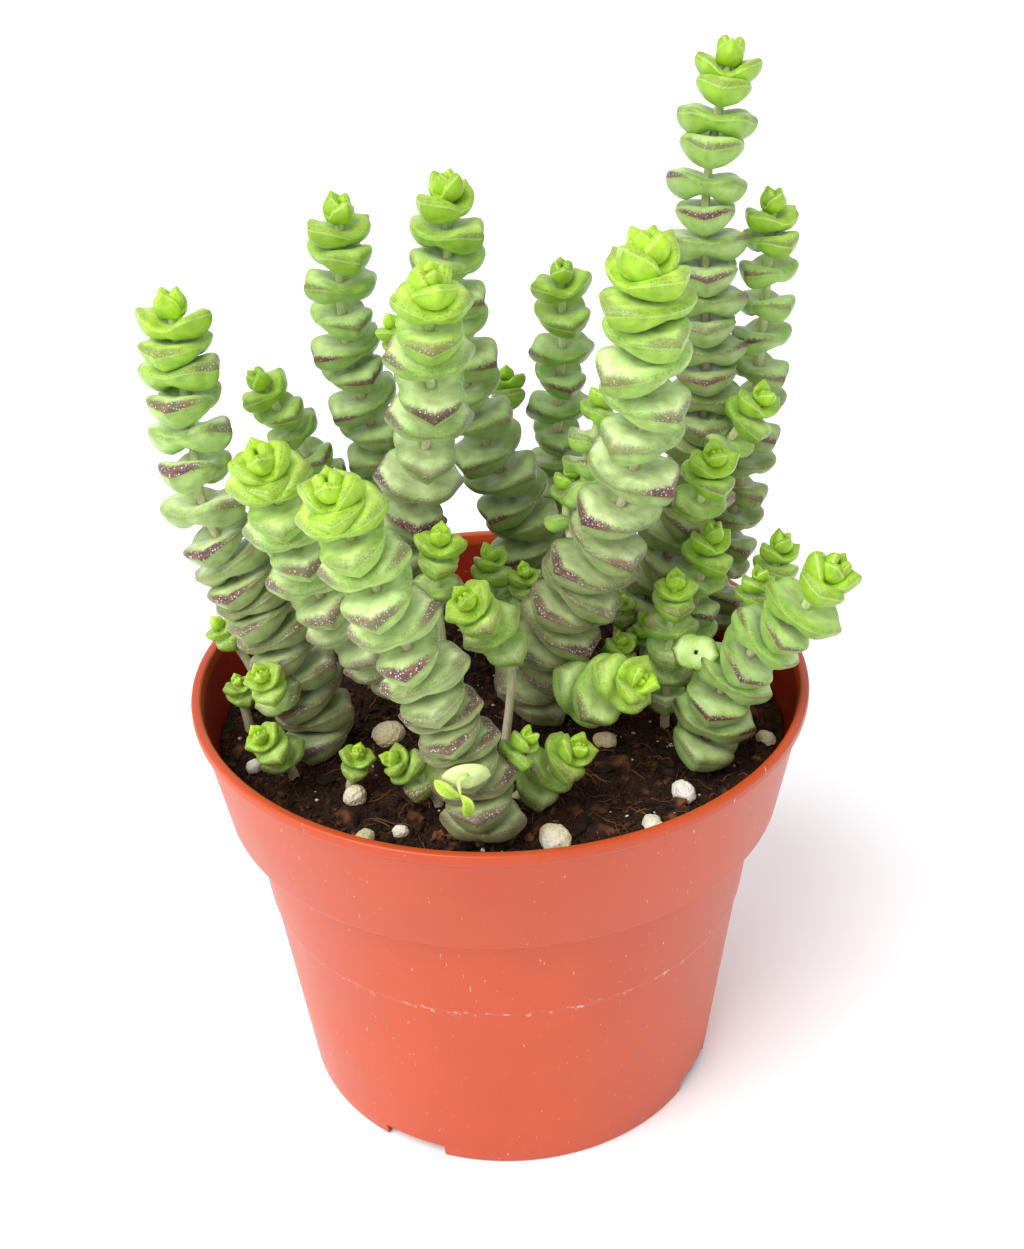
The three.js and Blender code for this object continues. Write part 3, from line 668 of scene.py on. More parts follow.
# %% Stems
STEM_ROWS = [
    ("stem_left", (16.6, 14.6), -19, [0, 2.2, 5, 9, 14, 19.5, 25.3, 31.5, 37.3, 41.5, 45.2, 48.8,
     52.4, 56.2, 60.2, 64.5, 69, 73.6, 78.2], [(-31, -7, 70), (-34, -8, 85), (-39.6, -8, 100),
     (-46.6, -7, 116), (-48, -4, 130), (-49, -2, 149)]),
    ("stem_left_back", (11.8, 11), 40, [0, 2, 6, 10.7, 16.5, 21.5, 26.5, 31.5, 36.5],
     [(-24, 16, 70), (-26, 16, 95), (-32, 15, 116), (-38.5, 12, 131)]),
    ("stem_left_front", (14.2, 13.4), 8, [0, 1.2, 2.4, 3.8, 9.2, 14, 19.5, 25, 30.5, 36, 41.5,
     46.5, 51.5], [(-14, -4, 70), (-15, -10, 84), (-22, -16, 97), (-28, -19, 107),
     (-31, -23, 121), (-33.5, -29, 135)]),
    ("stem_back_left", (15, 13.2), 35, [0, 2.4, 6, 11.3, 17.1, 22.3, 27.2, 33.4, 39.3, 44.6,
     49.8, 55, 60, 65, 70, 75, 80], [(-13, 30, 70), (-17, 22, 104), (-20.5, 18, 119),
     (-24, 14, 139), (-23.2, 12, 159)]),
    ("stem_front", (14.6, 13.6), -3, [0, 1.2, 2.4, 3.8, 8.9, 13.2, 18.7, 24.6, 30.6, 35.3, 39.7,
     43.3, 46.8, 50.2, 53.8, 57.5, 61.6, 66.3], [(-4, -36, 70), (-4, -37, 81), (-9, -38, 97),
     (-15, -41, 114), (-20, -44, 130), (-22, -46, 138)]),
    ("stem_back_middle", (17, 14), 53, [0, 1.9, 6, 11, 17, 22.6, 28.8, 35.6, 42, 48.6, 55, 60.8,
     66, 71.2, 76.4, 81.6, 86.8], [(9, 28, 70), (5, 24, 98), (-2, 20, 118), (-6, 15, 140),
     (-6, 12, 162)]),
    ("stem_middle", (15.4, 14.4), 100, [0, 1.3, 3, 7.8, 12.6, 20, 26.4, 34.4, 41.8, 48.6, 54, 59,
     64, 69, 74, 78.5], [(-14, 9, 70), (-16, 8, 100), (-10, -4, 129), (-9, -12, 146),
     (-8, -15, 156)]),
    ("stem_back", (13.6, 12.6), 10, [0, 2.2, 7.1, 14.3, 20.2, 26.5, 32.5, 38.6, 44.6, 50.6, 56.6,
     62], [(16, 40, 70), (12.5, 37.5, 100), (12.5, 35, 116), (13.2, 32.5, 128), (13, 30, 142)]),
    ("stem_right_front", (17.2, 16.4), 41, [0, 1.4, 3, 6.4, 11, 16.2, 22.8, 29.4, 37, 44.6, 51.3,
     57, 61.6, 66.2, 70.9, 75.6, 80.2, 84.8, 89.4], [(4, 1, 70), (10, -6, 92), (18, -10, 111),
     (23, -15, 131), (23, -19, 149), (23, -20, 161)]),
    ("stem_tallest", (15.8, 13.8), -5, [0, 1.9, 4, 8.6, 13, 18.6, 23.3, 28, 32.6, 37.3, 41.7,
     45.9, 50, 54, 58.4, 63, 68, 73, 78, 83, 88, 93, 98], [(24, 19, 70), (30, 17, 90),
     (35, 15, 106), (36.5, 13, 124), (36, 14, 144), (36, 16, 162), (39, 18, 180)]),
    ("stem_right_back", (13.8, 12), 35, [0, 2, 5.3, 10.5, 16.3, 22, 28, 34.3, 40.2, 46, 51.8,
     57.3, 62.5, 67.6, 72.8, 78], [(38, 19, 70), (40.3, 20.5, 82), (43, 22, 96),
     (45.6, 21.5, 114), (46.8, 20, 133), (47.5, 20, 156)]),
    ("stem_right_inner", (12.4, 10.8), 30, (5, 12), [(32, 4, 70), (34, 4, 87), (37, 3, 104)]),
    ("stem_right_far", (10.8, 10.6), 20, (5, 14), [(43, 4, 70), (47, 7, 84), (50, 8, 99)]),
    ("stem_right", (15.6, 13.4), -15, [0, 1.2, 2.6, 8, 12.4, 17, 21.8, 26.4, 31.2, 36.2, 41.4],
     [(32, -15, 70), (35, -16, 76), (37, -17, 86), (42, -19, 95), (48, -22, 103),
     (52, -24, 111)]),
    ("shoot_right_inner", (10.5, 9.6), 0, (4.8, 7), [(29, -4, 70), (29, -5, 84), (30, -6, 100)]),
    ("shoot_centre_right_a", (7.8, 7.4), 30, (4, 11), [(20, -1, 70), (21, -4, 88)]),
    ("shoot_centre_right_b", (7.8, 7.6), 60, (4, 11), [(25, 3, 70), (26, 2, 88)]),
    ("shoot_centre_right_c", (7.2, 6.7), 10, (4, 13), [(20, 7, 70), (22, 7, 90)]),
    ("shoot_front_right", (11.6, 9.9), 20, (4, 4), [(2, -24, 70), (7, -27, 77), (12, -29, 83)]),
    ("shoot_centre", (11, 11), 20, (5, 23), [(0, -14, 70), (2, -14, 90), (-1, -18, 99),
     (-5, -22, 107)]),
    ("shoot_centre_left", (11, 10.1), 0, (5.4, 30), [(-8, -5, 70), (-10, -7, 98),
     (-9, -8, 111)]),
    ("shoot_centre_back", (9.4, 9.2), 45, (4.4, 19), [(0, 13, 70), (-1, 12, 97)]),
    ("shoot_left_low", (9, 8.5), 20, (4, 4), [(-36, -15, 70), (-37, -18, 76), (-40, -21, 82)]),
    ("shoot_front_left_a", (7.2, 7.2), 0, (4, 4), [(-26, -19, 70), (-24, -21, 78)]),
    ("shoot_front_left_b", (9, 7.8), 60, (4, 4), [(-11, -24, 70), (-14, -25, 76),
     (-18, -26, 80)]),
    ("shoot_far_left_a", (6.9, 6.5), 30, (4, 4), [(-45, -1, 70), (-46, -2, 81)]),
    ("shoot_far_left_b", (8.3, 7.8), 20, (4.2, 13), [(-43, 9, 70), (-46, 8, 80), (-50, 8, 87)]),
]


def stems_from(rows, first_key):
    """Names the values of each row, so that they can be asked for by name."""
    keys = (first_key, "width", "turn", "pairs", "route")
    return [dict(zip(keys, row), pinched=False) for row in rows]


STEMS = stems_from(STEM_ROWS, "name")
tallest = max(STEMS, key=lambda stem: stem["route"][-1][2])
print(len(STEMS), "stems, the tallest", tallest["route"][-1][2], "mm high")

# %% [markdown]
# Side shoots grow out of the stem that their row names. They could be pieces of their own, but
# a plant can't be taken apart there, so each is one piece with its parent. One of them, at the
# right, had its bud pinched off and ends in a single grown pair.

# %% Side shoots
PINCHED = 10
SIDE_ROWS = [
    ("stem_left", (9, 8.5), 10, (4, 6), [(-34, -8, 82), (-37, -14, 85), (-39, -18, 92)]),
    ("stem_front", (7.8, 7.6), 30, (4, 9), [(-4, -37, 79), (0, -35, 83), (4, -33, 88)]),
    ("stem_back_middle", (10.1, 9.4), 0, (4.6, 12), [(-1, 20, 112), (3, 29, 115), (3, 34, 122)]),
    ("stem_middle", (7.8, 7.4), 20, (4, 3), [(-9, -8, 138), (-13, -4, 141), (-15, -3, 146)]),
    ("stem_right_front", (9.6, 9.2), 30, (4.6, 9), [(19, -11, 112), (15, -2, 118), (17, 0, 126),
     (19, 1, 132)]),
    ("stem_right_front", (8.5, 8.1), 30, (4.4, 8), [(15, -9, 104), (12, -2, 110), (13, 0, 118)]),
    ("stem_right_front", (14.6, 12.4), 90, (5.4, 9), [(7, -4, 78), (15, -14, 84),
     (22.4, -22.5, 91.5)]),
    ("stem_tallest", (10.3, 10.3), 30, (5.6, 10), [(35, 13, 112), (41, 8, 121), (45, 6, 128)]),
    ("stem_tallest", (11, 10.5), 20, (5.4, 16), [(34, 14, 102), (34, 0, 111), (36, -4, 122)]),
    ("stem_right", (8.3, 7.8), 30, (4.6, 13), [(37, -17, 87), (40, -13, 93), (43, -12, 104)]),
    ("stem_right", (8.8, 8.8), 60, (5, 9), [(36.5, -16.8, 83), (33.5, -13.5, 89.5),
     (32.3, -17, 93)]),
    ("shoot_centre_back", (8.3, 7.8), 20, (4.4, 6), [(0, 13, 82), (4, 10, 87), (5, 9, 95)]),
]
SIDE_SHOOTS = stems_from(SIDE_ROWS, "parent")
SIDE_SHOOTS[PINCHED]["pinched"] = True
print(len(SIDE_SHOOTS), "side shoots")

# %% [markdown]
# A shoot is a smooth curve through its route. A curve object could draw it, but pairs have to
# be set at a known length from the bud, so points on the curve are worked out here, and a place
# is found by its length. Each place gets two directions across the shoot, the first of them
# facing the front, so that headings mean the same all the way up.

# %% Routes
CURVE_STEPS = 200
NEAR = 0.4


def curve_samples(route):
    """Points on the smooth curve through a route, with the length of curve before each."""
    p = np.array(route, float)
    p = np.vstack([2 * p[0] - p[1], p, 2 * p[-1] - p[-2]])
    spans = len(route) - 1
    t = np.linspace(0, spans, CURVE_STEPS + 1)
    k = np.minimum(t.astype(int), spans - 1)
    w = (t - k)[:, None]
    a, b = p[k + 1], p[k + 2]
    ta, tb = (b - p[k]) / 2, (p[k + 3] - a) / 2
    points = a + ta * w + (3 * (b - a) - 2 * ta - tb) * w ** 2 + (2 * (a - b) + ta + tb) * w ** 3
    lengths = np.concatenate([[0], np.cumsum(np.linalg.norm(np.diff(points, axis=0), axis=1))])
    return points, lengths


def spot_on(curve, along):
    """A point of the curve, and the way the curve runs there."""
    points, lengths = curve
    here, ahead, behind = (np.array([np.interp(at, lengths, points[:, k]) for k in range(3)])
                           for at in (along, along + NEAR, along - NEAR))
    return here, (ahead - behind) / np.linalg.norm(ahead - behind)


def cross_axes(axis, heading):
    front = np.array([0, -1.0, 0])
    front -= front @ axis * axis
    front /= np.linalg.norm(front)
    side = np.cross(axis, front)
    angle = math.radians(heading)
    u = math.cos(angle) * front + math.sin(angle) * side
    return u, np.cross(axis, u)


def tilted(axis, about, angle):
    return np.array(Matrix.Rotation(math.radians(angle), 3, about.tolist())) @ axis


def tube(spots, radii, around):
    """Rings round a line of (point, direction) spots."""
    angles = np.linspace(0, 2 * math.pi, around, endpoint=False)
    rings = []
    for (here, axis), radius in zip(spots, radii):
        u, v = cross_axes(axis, 0)
        rings.append(here + radius * (np.outer(np.cos(angles), u) + np.outer(np.sin(angles), v)))
    return np.concatenate(rings)


print("the tallest shoot is", round(curve_samples(tallest["route"])[1][-1]), "mm long")

# %% [markdown]
# Coconut husk leaves loose fibres on the soil: bent threads 2 to 8 mm long and as thin as a
# hair. Hair strands could draw them, but they don't leave Blender as a mesh. Each is a tube of
# four sides, thickest in its middle, that follows the crust and arches a little above it. Where
# one would pass through the pot's wall, it bends along it.

# %% Husk fibres
FIBRES = 520
FIBRE_SEED = 31
FIBRE_LENGTH = (2, 8)
FIBRE_RADIUS = (0.04, 0.13)
FIBRE_BEND = 0.6
FIBRE_LIFT = 0.15
FIBRE_ARCH = 0.5
FIBRE_START = edge - 1.5
FIBRE_STOP = edge - 0.6
FIBRE_SWELL = np.array([0.3, 0.8, 1, 1, 1, 0.8, 0.3])
FIBRE_SIDES = 4

# Husk is woody thread: IOR 1.5, dull, its brown changing over about 8 mm
husk, add, size = new_material("coconut_husk")
spot = add("TexNoise", {"Scale": 0.12, "Detail": 2.0}, {"Vector": size})
tone = add("ValToRGB", {"stops": [(0.35, "#2f170d"), (0.65, "#8a5730")]}, {"Fac": spot})
skin = add("BsdfPrincipled", {"Roughness": 0.8, "IOR": 1.5}, {"Base Color": tone})
add("OutputMaterial", links={"Surface": skin})

dice = np.random.default_rng(FIBRE_SEED)
faces = ring_faces(len(FIBRE_SWELL), FIBRE_SIDES)
all_points, all_faces = [], []
for k in range(FIBRES):
    start = random_place(dice, FIBRE_START)
    heading, length = dice.uniform(0, 2 * math.pi), dice.uniform(*FIBRE_LENGTH)
    bend, thick = dice.uniform(-FIBRE_BEND, FIBRE_BEND), dice.uniform(*FIBRE_RADIUS)
    line = []
    for s in np.linspace(0, 1, len(FIBRE_SWELL)):
        x = start[0] + length * s * math.cos(heading + bend * s)
        y = start[1] + length * s * math.sin(heading + bend * s)
        if math.hypot(x, y) > FIBRE_STOP:
            x, y = np.array([x, y]) * FIBRE_STOP / math.hypot(x, y)
        rise = FIBRE_LIFT + FIBRE_ARCH * math.sin(math.pi * s) * dice.uniform(0, 1)
        line.append([x, y, on_crust(x, y) + rise])
    ways = np.gradient(np.array(line), axis=0)
    ways /= np.linalg.norm(ways, axis=1)[:, None]
    all_points.append(tube(list(zip(np.array(line), ways)), thick * FIBRE_SWELL, FIBRE_SIDES))
    all_faces.append(faces + k * len(FIBRE_SWELL) * FIBRE_SIDES)
husk_fibres = mesh_piece("husk_fibres", np.concatenate(all_points), np.concatenate(all_faces), [husk])
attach(husk_fibres, "root")
print("fibres:", triangles(husk_fibres), "triangles")

# %% [markdown]
# A leaf pair is two plump leaves grown together round the stem. It could be sculpted once and
# copied, but no two pairs have the same age, so it is drawn from two cuts. Through a tip, a
# leaf is a thick lens: a swollen top, a crisp margin a third of the way down, and a deep belly
# that arches up again at the stem. At the waist the lens is thinner. Each cut is a short list
# of (reach, height), and every direction between them is a blend.

# %% Leaf pair outline
AROUND = 48
TIP_CUT = [
    (0.09, 0.02), (0.22, 0.08), (0.38, 0.17), (0.54, 0.25), (0.68, 0.29), (0.79, 0.29), (0.87, 0.26),
    (0.925, 0.215), (0.96, 0.16), (0.985, 0.09), (0.998, 0.02), (1.0, -0.06), (0.992, -0.15),
    (0.965, -0.27), (0.91, -0.40), (0.82, -0.52), (0.70, -0.61), (0.54, -0.64), (0.37, -0.56),
    (0.21, -0.43), (0.09, -0.34),
]
WAIST_CUT = [
    (0.13, 0.02), (0.26, 0.05), (0.42, 0.09), (0.58, 0.115), (0.72, 0.115), (0.83, 0.10),
    (0.90, 0.075), (0.945, 0.055), (0.97, 0.035), (0.988, 0.01), (0.998, -0.02), (1.0, -0.05),
    (0.985, -0.09), (0.95, -0.15), (0.875, -0.24), (0.77, -0.31), (0.64, -0.36), (0.5, -0.38),
    (0.36, -0.37), (0.24, -0.35), (0.13, -0.32),
]
MARGIN_RING = 11
GROWN_OUTLINE = dict(waist=0.71, length=0.10, shoulder=0.08, point=0.19)
YOUNG_OUTLINE = dict(waist=0.54, length=0.17, shoulder=0.07, point=0.27)
POINT_WIDTH = 14
WAIST_NOTCH = 0.035
NOTCH_SPREAD = 9

theta = np.linspace(0, 2 * math.pi, AROUND, endpoint=False)
from_tip = np.degrees(np.arccos(np.abs(np.cos(theta))))
tipness = np.cos(theta) ** 2
first_leaf = 0.5 + 0.5 * np.cos(theta)
on_top = np.arange(len(TIP_CUT))[:, None] <= MARGIN_RING


def pair_outline(youth):
    """Reach of a pair in each direction, as a share of its half length."""
    waist, length, shoulder, point = (
        (1 - youth) * GROWN_OUTLINE[key] + youth * YOUNG_OUTLINE[key] for key in GROWN_OUTLINE
    )
    round_part = (waist + length * tipness + shoulder * np.sin(2 * theta) ** 2
                  - WAIST_NOTCH * np.exp(-((from_tip - 90) / NOTCH_SPREAD) ** 2))
    return round_part, point * np.exp(-from_tip / POINT_WIDTH)


def by_leaf(values):
    """A value for each direction, from the values of the pair's two leaves."""
    return values[0] * first_leaf + values[1] * (1 - first_leaf)


at_waist = sum(pair_outline(0))[AROUND // 4]
print("at its waist a grown pair is", round(at_waist, 2), "of its length wide")

# %% [markdown]
# In the bud a pair stands up like cupped hands, and it folds open as it grows. Tilting whole
# leaves would tear them from the stem, so each is bent about a hinge there: it rises by the cup
# angle, and a hood angle curls its tip in. Grown leaves fold a little along their middle, and
# crowded pairs press each other flatter. Each point keeps how far it is from the margin and
# from the tip, along the skin in millimetres, for the colours.

# %% Leaf pair form
THICKNESS_SHARE = 0.78
FOLD = 0.15
YOUNG_FLAT = 0.12
CROWDED_FLAT = 0.6
CROWDED_DEEP = 0.12
HINGE = 0.25
STEM_SHARE = 0.04
SWELL = 0.02
SWELL_LENGTH = 5.0


def leaf_pair(half, thickness, cup, hood, youth, crowd, lobes, seed):
    """Rings of a pair in its own axes, and the values it is painted by."""
    reach, rise = (np.outer(tip, tipness) + np.outer(waist, 1 - tipness)
                   for tip, waist in zip(np.transpose(TIP_CUT), np.transpose(WAIST_CUT)))
    grown = half * by_leaf(lobes["reach"])
    round_part, point = pair_outline(youth)
    out = reach * grown * (round_part + point * np.where(on_top, reach, reach ** 2))
    away = np.abs(out * np.cos(theta))
    inner = np.where(on_top, reach ** 2, reach ** 6)
    rise = rise + FOLD * (1 - youth) * np.sin(2 * theta) ** 2 * inner
    lift = np.radians(cup + by_leaf(lobes["lift"]))
    turn = lift * (1 - np.exp(-(away / (HINGE * half)) ** 2)) + np.radians(hood) * (away / half) ** 2
    top_share = 1 - YOUNG_FLAT * youth - CROWDED_FLAT * crowd
    height = thickness * rise * np.where(rise > 0, top_share, 1 + CROWDED_DEEP * crowd)
    beside = np.maximum(away * np.cos(turn) - height * np.sin(turn), STEM_SHARE * away)
    up = away * np.sin(turn) + height * np.cos(turn)
    points = np.stack([np.sign(np.cos(theta)) * beside, out * np.sin(theta), up], axis=-1)
    swell = ripple(points.reshape(-1, 3), SWELL_LENGTH, seed).reshape(up.shape) * SWELL * half
    points[..., 2] += swell * np.clip(out / half, 0, 1)
    steps = np.linalg.norm(np.diff(points, axis=0), axis=2)
    run = np.vstack([np.zeros(AROUND), np.cumsum(steps, axis=0)])
    paint = {
        "margin": run[MARGIN_RING] - run,
        "tip": np.broadcast_to(np.radians(from_tip) * grown, up.shape),
        "stain": np.broadcast_to(by_leaf(lobes["stain"]), up.shape),
    }
    return points.reshape(-1, 3), {key: values.reshape(-1) for key, values in paint.items()}


EVEN = dict(reach=(1, 1), lift=(0, 0), stain=(0, 0))
sample = leaf_pair(7.0, 4.8, 5, 0, 0, 0, EVEN, 1)[0]
print("a grown pair measures", np.round(np.ptp(sample, axis=0), 1), "mm")

# %% [markdown]
# The leaf skin is living tissue under a coat of wax. A picture could be wrapped round it, but
# values that each point carries fit any form. Three greens meet in it: the pale top, the rich
# band above the margin, and the waxy belly. Each goes from the yellow-green of the bud to the
# grey-green of old pairs. The band has darker pits of about a quarter millimetre, and clouds of
# 2 mm lie over all. Stems that stand in the shade of others are given a deeper green, as painted
# shade.

# %% Leaf skin, greens
leaf_skin, add, size = new_material("waxy_leaf_skin")
margin, tip, age, tone, stain = (
    add("Attribute", {"attribute_name": key}).outputs["Fac"]
    for key in ("margin", "tip", "age", "tone", "stain")
)
patchy = add("TexNoise", {"Scale": 0.45, "Detail": 3.0}, {"Vector": size})
fine = add("TexNoise", {"Scale": 2.4, "Detail": 4.0, "Roughness": 0.6}, {"Vector": size})
GREENS = [
    [(0.0, "#c0dd3a"), (0.2, "#c4e06a"), (0.5, "#d6eaa4"), (0.8, "#cbdb9c"), (1.0, "#b0b784")],
    [(0.0, "#9cc922"), (0.3, "#86b629"), (0.6, "#7fab3a"), (0.85, "#7f9650"), (1.0, "#7d7849")],
    [(0.0, "#a0cb2c"), (0.25, "#99c446"), (0.55, "#abcd74"), (0.8, "#a3ba78"), (1.0, "#969b66")],
]
top, band, belly = (add("ValToRGB", {"stops": stops}, {"Fac": age}) for stops in GREENS)
over = add("MapRange", {**SOFT, 1: -0.5, 2: 0.5}, {0: margin})
base = add("Mix", COVER, {"Factor": over, "A": belly, "B": top})
band_top = add("MapRange", {**SOFT, 1: 2.6, 2: 0.5}, {0: margin})
band_foot = add("MapRange", {**SOFT, 1: -0.9, 2: 0.1}, {0: margin})
in_band = add("Math", TIMES, {0: band_top, 1: band_foot})
banded = add("Math", {**TIMES, 1: 0.75}, {0: in_band})
base = add("Mix", COVER, {"Factor": banded, "A": base, "B": band})

cells = add("TexVoronoi", {"Scale": 2.3}, {"Vector": size})
pitted = add("MapRange", {**SOFT, 1: 0.42, 2: 0.15}, {0: cells})
pits = add("Math", TIMES, {0: pitted, 1: in_band})
pit_amount = add("Math", {**TIMES, 1: 0.55}, {0: pits})
base = add("Mix", {**COVER, "B": "#4f7d16"}, {"Factor": pit_amount, "A": base})
cloud = add("MapRange", {1: 0.3, 2: 0.7, 3: 0.74, 4: 1.2}, {0: patchy})
base = add("Mix", TINT, {"A": base, "B": cloud})
# painted shade: stems in the shade of others are mixed towards a deeper green
base = add("Mix", {**COVER, "B": "#648f14"}, {"Factor": tone, "A": base})
print("greens:", len(leaf_skin.node_tree.nodes), "nodes")

# %% [markdown]
# The sun tans the leaves purple-brown. Noise alone would put the tan anywhere, but it follows
# the form: a V along both edges of a tip, tall at the point and low where it fades out, and a
# line along the whole margin of old, weathered pairs. Leaves in the shade have less of it.
# Whitish crusts sit only where the skin is tanned: dots of 0.3 mm, and a fine meal between
# them that old pairs have more of.

# %% Leaf skin, tan and crusts
wander = add("MapRange", {1: 0.25, 2: 0.75, 3: -0.45, 4: 0.45}, {0: fine})
above_margin = add("Math", {"operation": "ADD"}, {0: margin, 1: wander})
tall = add("MapRange", {1: 0.0, 2: 7.0, 3: 2.5, 4: 0.85}, {0: tip})
shaded = add("MapRange", {1: 0.0, 2: 0.3, 3: 1.0, 4: 0.5}, {0: tone})
tall = add("Math", TIMES, {0: tall, 1: shaded})
height_share = add("Math", {"operation": "DIVIDE"}, {0: above_margin, 1: tall})
tanned = add("MapRange", {**SOFT, 1: 1.1, 2: 0.6}, {0: height_share})
tan_foot = add("MapRange", {**SOFT, 1: -0.12, 2: 0.1}, {0: margin})
near_tip = add("MapRange", {**SOFT, 1: 8.0, 2: 2.8, 3: 0.12}, {0: tip})
weathered = add("MapRange", {**SOFT, 1: 0.55, 2: 0.95, 4: 0.75}, {0: age})
spread = add("Math", {"operation": "MAXIMUM"}, {0: near_tip, 1: weathered})
for mask in (tan_foot, spread, stain):
    tanned = add("Math", TIMES, {0: tanned, 1: mask})
tan_stops = [(0.3, "#7c4f34"), (0.5, "#5c3836"), (0.7, "#4c333c")]
tan = add("ValToRGB", {"stops": tan_stops}, {"Fac": patchy})
base = add("Mix", COVER, {"Factor": tanned, "A": base, "B": tan})

crust_cells = add("TexVoronoi", {"Scale": 2.6}, {"Vector": size})
dots = add("MapRange", {**SOFT, 1: 0.42, 2: 0.24}, {0: crust_cells})
lot = add("SeparateColor", links={"Color": crust_cells.outputs["Color"]}).outputs["Red"]
chosen = add("MapRange", {**SOFT, 1: 0.5, 2: 0.62}, {0: lot})
dots = add("Math", TIMES, {0: dots, 1: chosen})
powder = add("TexNoise", {"Scale": 5.0, "Detail": 2.0, "Roughness": 0.7}, {"Vector": size})
meal = add("MapRange", {**SOFT, 1: 0.56, 2: 0.68, 4: 0.55}, {0: powder})
with_age = add("MapRange", {1: 0.1, 2: 0.9}, {0: age})
meal = add("Math", TIMES, {0: meal, 1: with_age})
crusts = add("Math", {"operation": "MAXIMUM"}, {0: dots, 1: meal})
for mask in (tanned, shaded):
    crusts = add("Math", TIMES, {0: crusts, 1: mask})
base = add("Mix", {**COVER, "B": "#d9cdc6"}, {"Factor": crusts, "A": base})
print("with tan and crusts:", len(leaf_skin.node_tree.nodes), "nodes")

# %% [markdown]
# The margin itself is a thin line, brown on old pairs, their own colour, and pale on young ones,
# a painted highlight along the crisp edge. Crusts stand out of the skin and pits lie in it, by
# about a tenth of a millimetre. That is too fine to model, so bump does it. The wax is smoother
# in some places than in others, and its faint pale glow at grazing angles is sheen. The flesh is
# full of water and lets some light through.

# %% Leaf skin, margin, gloss and relief
# Wax and wet tissue have an IOR near 1.45, and light scatters about 1 mm deep, green furthest
off_margin = add("Math", {"operation": "ABSOLUTE"}, {0: margin})
# painted highlight: the pale margin line of young pairs; the brown line of old pairs is their own
# colour
on_margin = add("MapRange", {**SOFT, 1: 0.24, 2: 0.04, 4: 0.3}, {0: off_margin})
line_stops = [(0.0, "#e2f09a"), (0.35, "#cdd593"), (0.6, "#96825e"), (1.0, "#836c58")]
line = add("ValToRGB", {"stops": line_stops}, {"Fac": age})
base = add("Mix", COVER, {"Factor": on_margin, "A": base, "B": line})
rough = add("MapRange", {1: 0.3, 2: 0.7, 3: 0.28, 4: 0.46}, {0: fine})
raised = add("Math", {"operation": "MULTIPLY_ADD", 1: 1.5}, {0: crusts, 2: fine})
relief = add("Math", {"operation": "MULTIPLY_ADD", 1: -0.6}, {0: pits, 2: raised})
bump = add("Bump", {"Strength": 0.4, "Distance": 0.00012}, {"Height": relief})
skin = add("BsdfPrincipled",
           {"IOR": 1.45, "Subsurface Weight": 0.12, "Subsurface Radius": (0.8, 1.0, 0.3),
            "Subsurface Scale": 0.001, "Sheen Weight": 0.12, "Sheen Roughness": 0.35,
            "Sheen Tint": "#effbe0"},
           {"Base Color": base, "Roughness": rough, "Normal": bump})
add("OutputMaterial", links={"Surface": skin})
print(leaf_skin.name, "has", len(leaf_skin.node_tree.nodes), "nodes")

# %% [markdown]
# Between the pairs the shoot itself shows: pinkish beige, green near the bud, and browner
# towards the soil, where its bark has turned to paper. It is 1.5 mm thick, too thin for carved
# fibres, so a noise stretched along the shoot draws them.

# %% Shoot skin
# Papery bark: IOR 1.45, rough, fibres about 0.3 mm apart
shoot_skin, add, size = new_material("papery_shoot_bark")
age = add("Attribute", {"attribute_name": "age"}).outputs["Fac"]
upright = add("Mapping", {"Scale": (3.0, 3.0, 0.5)}, {"Vector": size})
fibre = add("TexNoise", {"Scale": 1.0, "Detail": 4.0}, {"Vector": upright})
shoot_stops = [(0.0, "#c9dc95"), (0.3, "#d8cfae"), (0.65, "#bfa58a"), (1.0, "#6f5543")]
tone = add("ValToRGB", {"stops": shoot_stops}, {"Fac": age})
shade = add("MapRange", {1: 0.3, 2: 0.7, 3: 0.75, 4: 1.15}, {0: fibre})
colour = add("Mix", TINT, {"A": tone, "B": shade})
bump = add("Bump", {"Strength": 0.5, "Distance": 0.0001}, {"Height": fibre})
skin = add("BsdfPrincipled", {"Roughness": 0.65, "IOR": 1.45}, {"Base Color": colour, "Normal": bump})
add("OutputMaterial", links={"Surface": skin})
print(shoot_skin.name, "has", len(shoot_skin.node_tree.nodes), "nodes")

# %% [markdown]
# Pairs are counted from the bud down. They could be placed by hand, but there are hundreds, and
# a rule keeps them alike: how young a pair is follows from its distance below the bud, told in
# widths of the stem. The youngest are small and closed, and soon below them pairs are open and
# grown. A pair is as thick as its room allows. Seeded chances give each pair its own size,
# twist and tilt, and each of its leaves its own reach, lift and tan.

# %% Pairs of a stem
YOUNG_LOSS = 0.42
YOUNG_REACH = 0.13
CUP_REACH = 0.15
YOUNG_GAP = [0.28, 0.5, 1]
PINCHED_AGE = 99
CLOSEST = 0.82
THINNEST = 0.62
YOUNG_PLUMP = 0.16
CROWDS_BELOW = 0.8
CROWDS_OVER = 0.3
SIZE_SPREAD = 0.05
TWIST_SPREAD = 7
TILT_SPREAD = 4
LOBE_REACH = (0.96, 1.05)
LOBE_LIFT = (-3, 3)
LOBE_TAN = (0.35, 1.15)


def places_down(stem, length):
    """How far below the bud each pair sits."""
    if isinstance(stem["pairs"], list):
        return stem["pairs"]
    gap, bare = stem["pairs"]
    places, down = [], 0
    while down < length - bare:
        grown = stem["pinched"] or len(places) >= len(YOUNG_GAP)
        places.append(down)
        down += gap * (1 if grown else YOUNG_GAP[len(places) - 1])
    return places


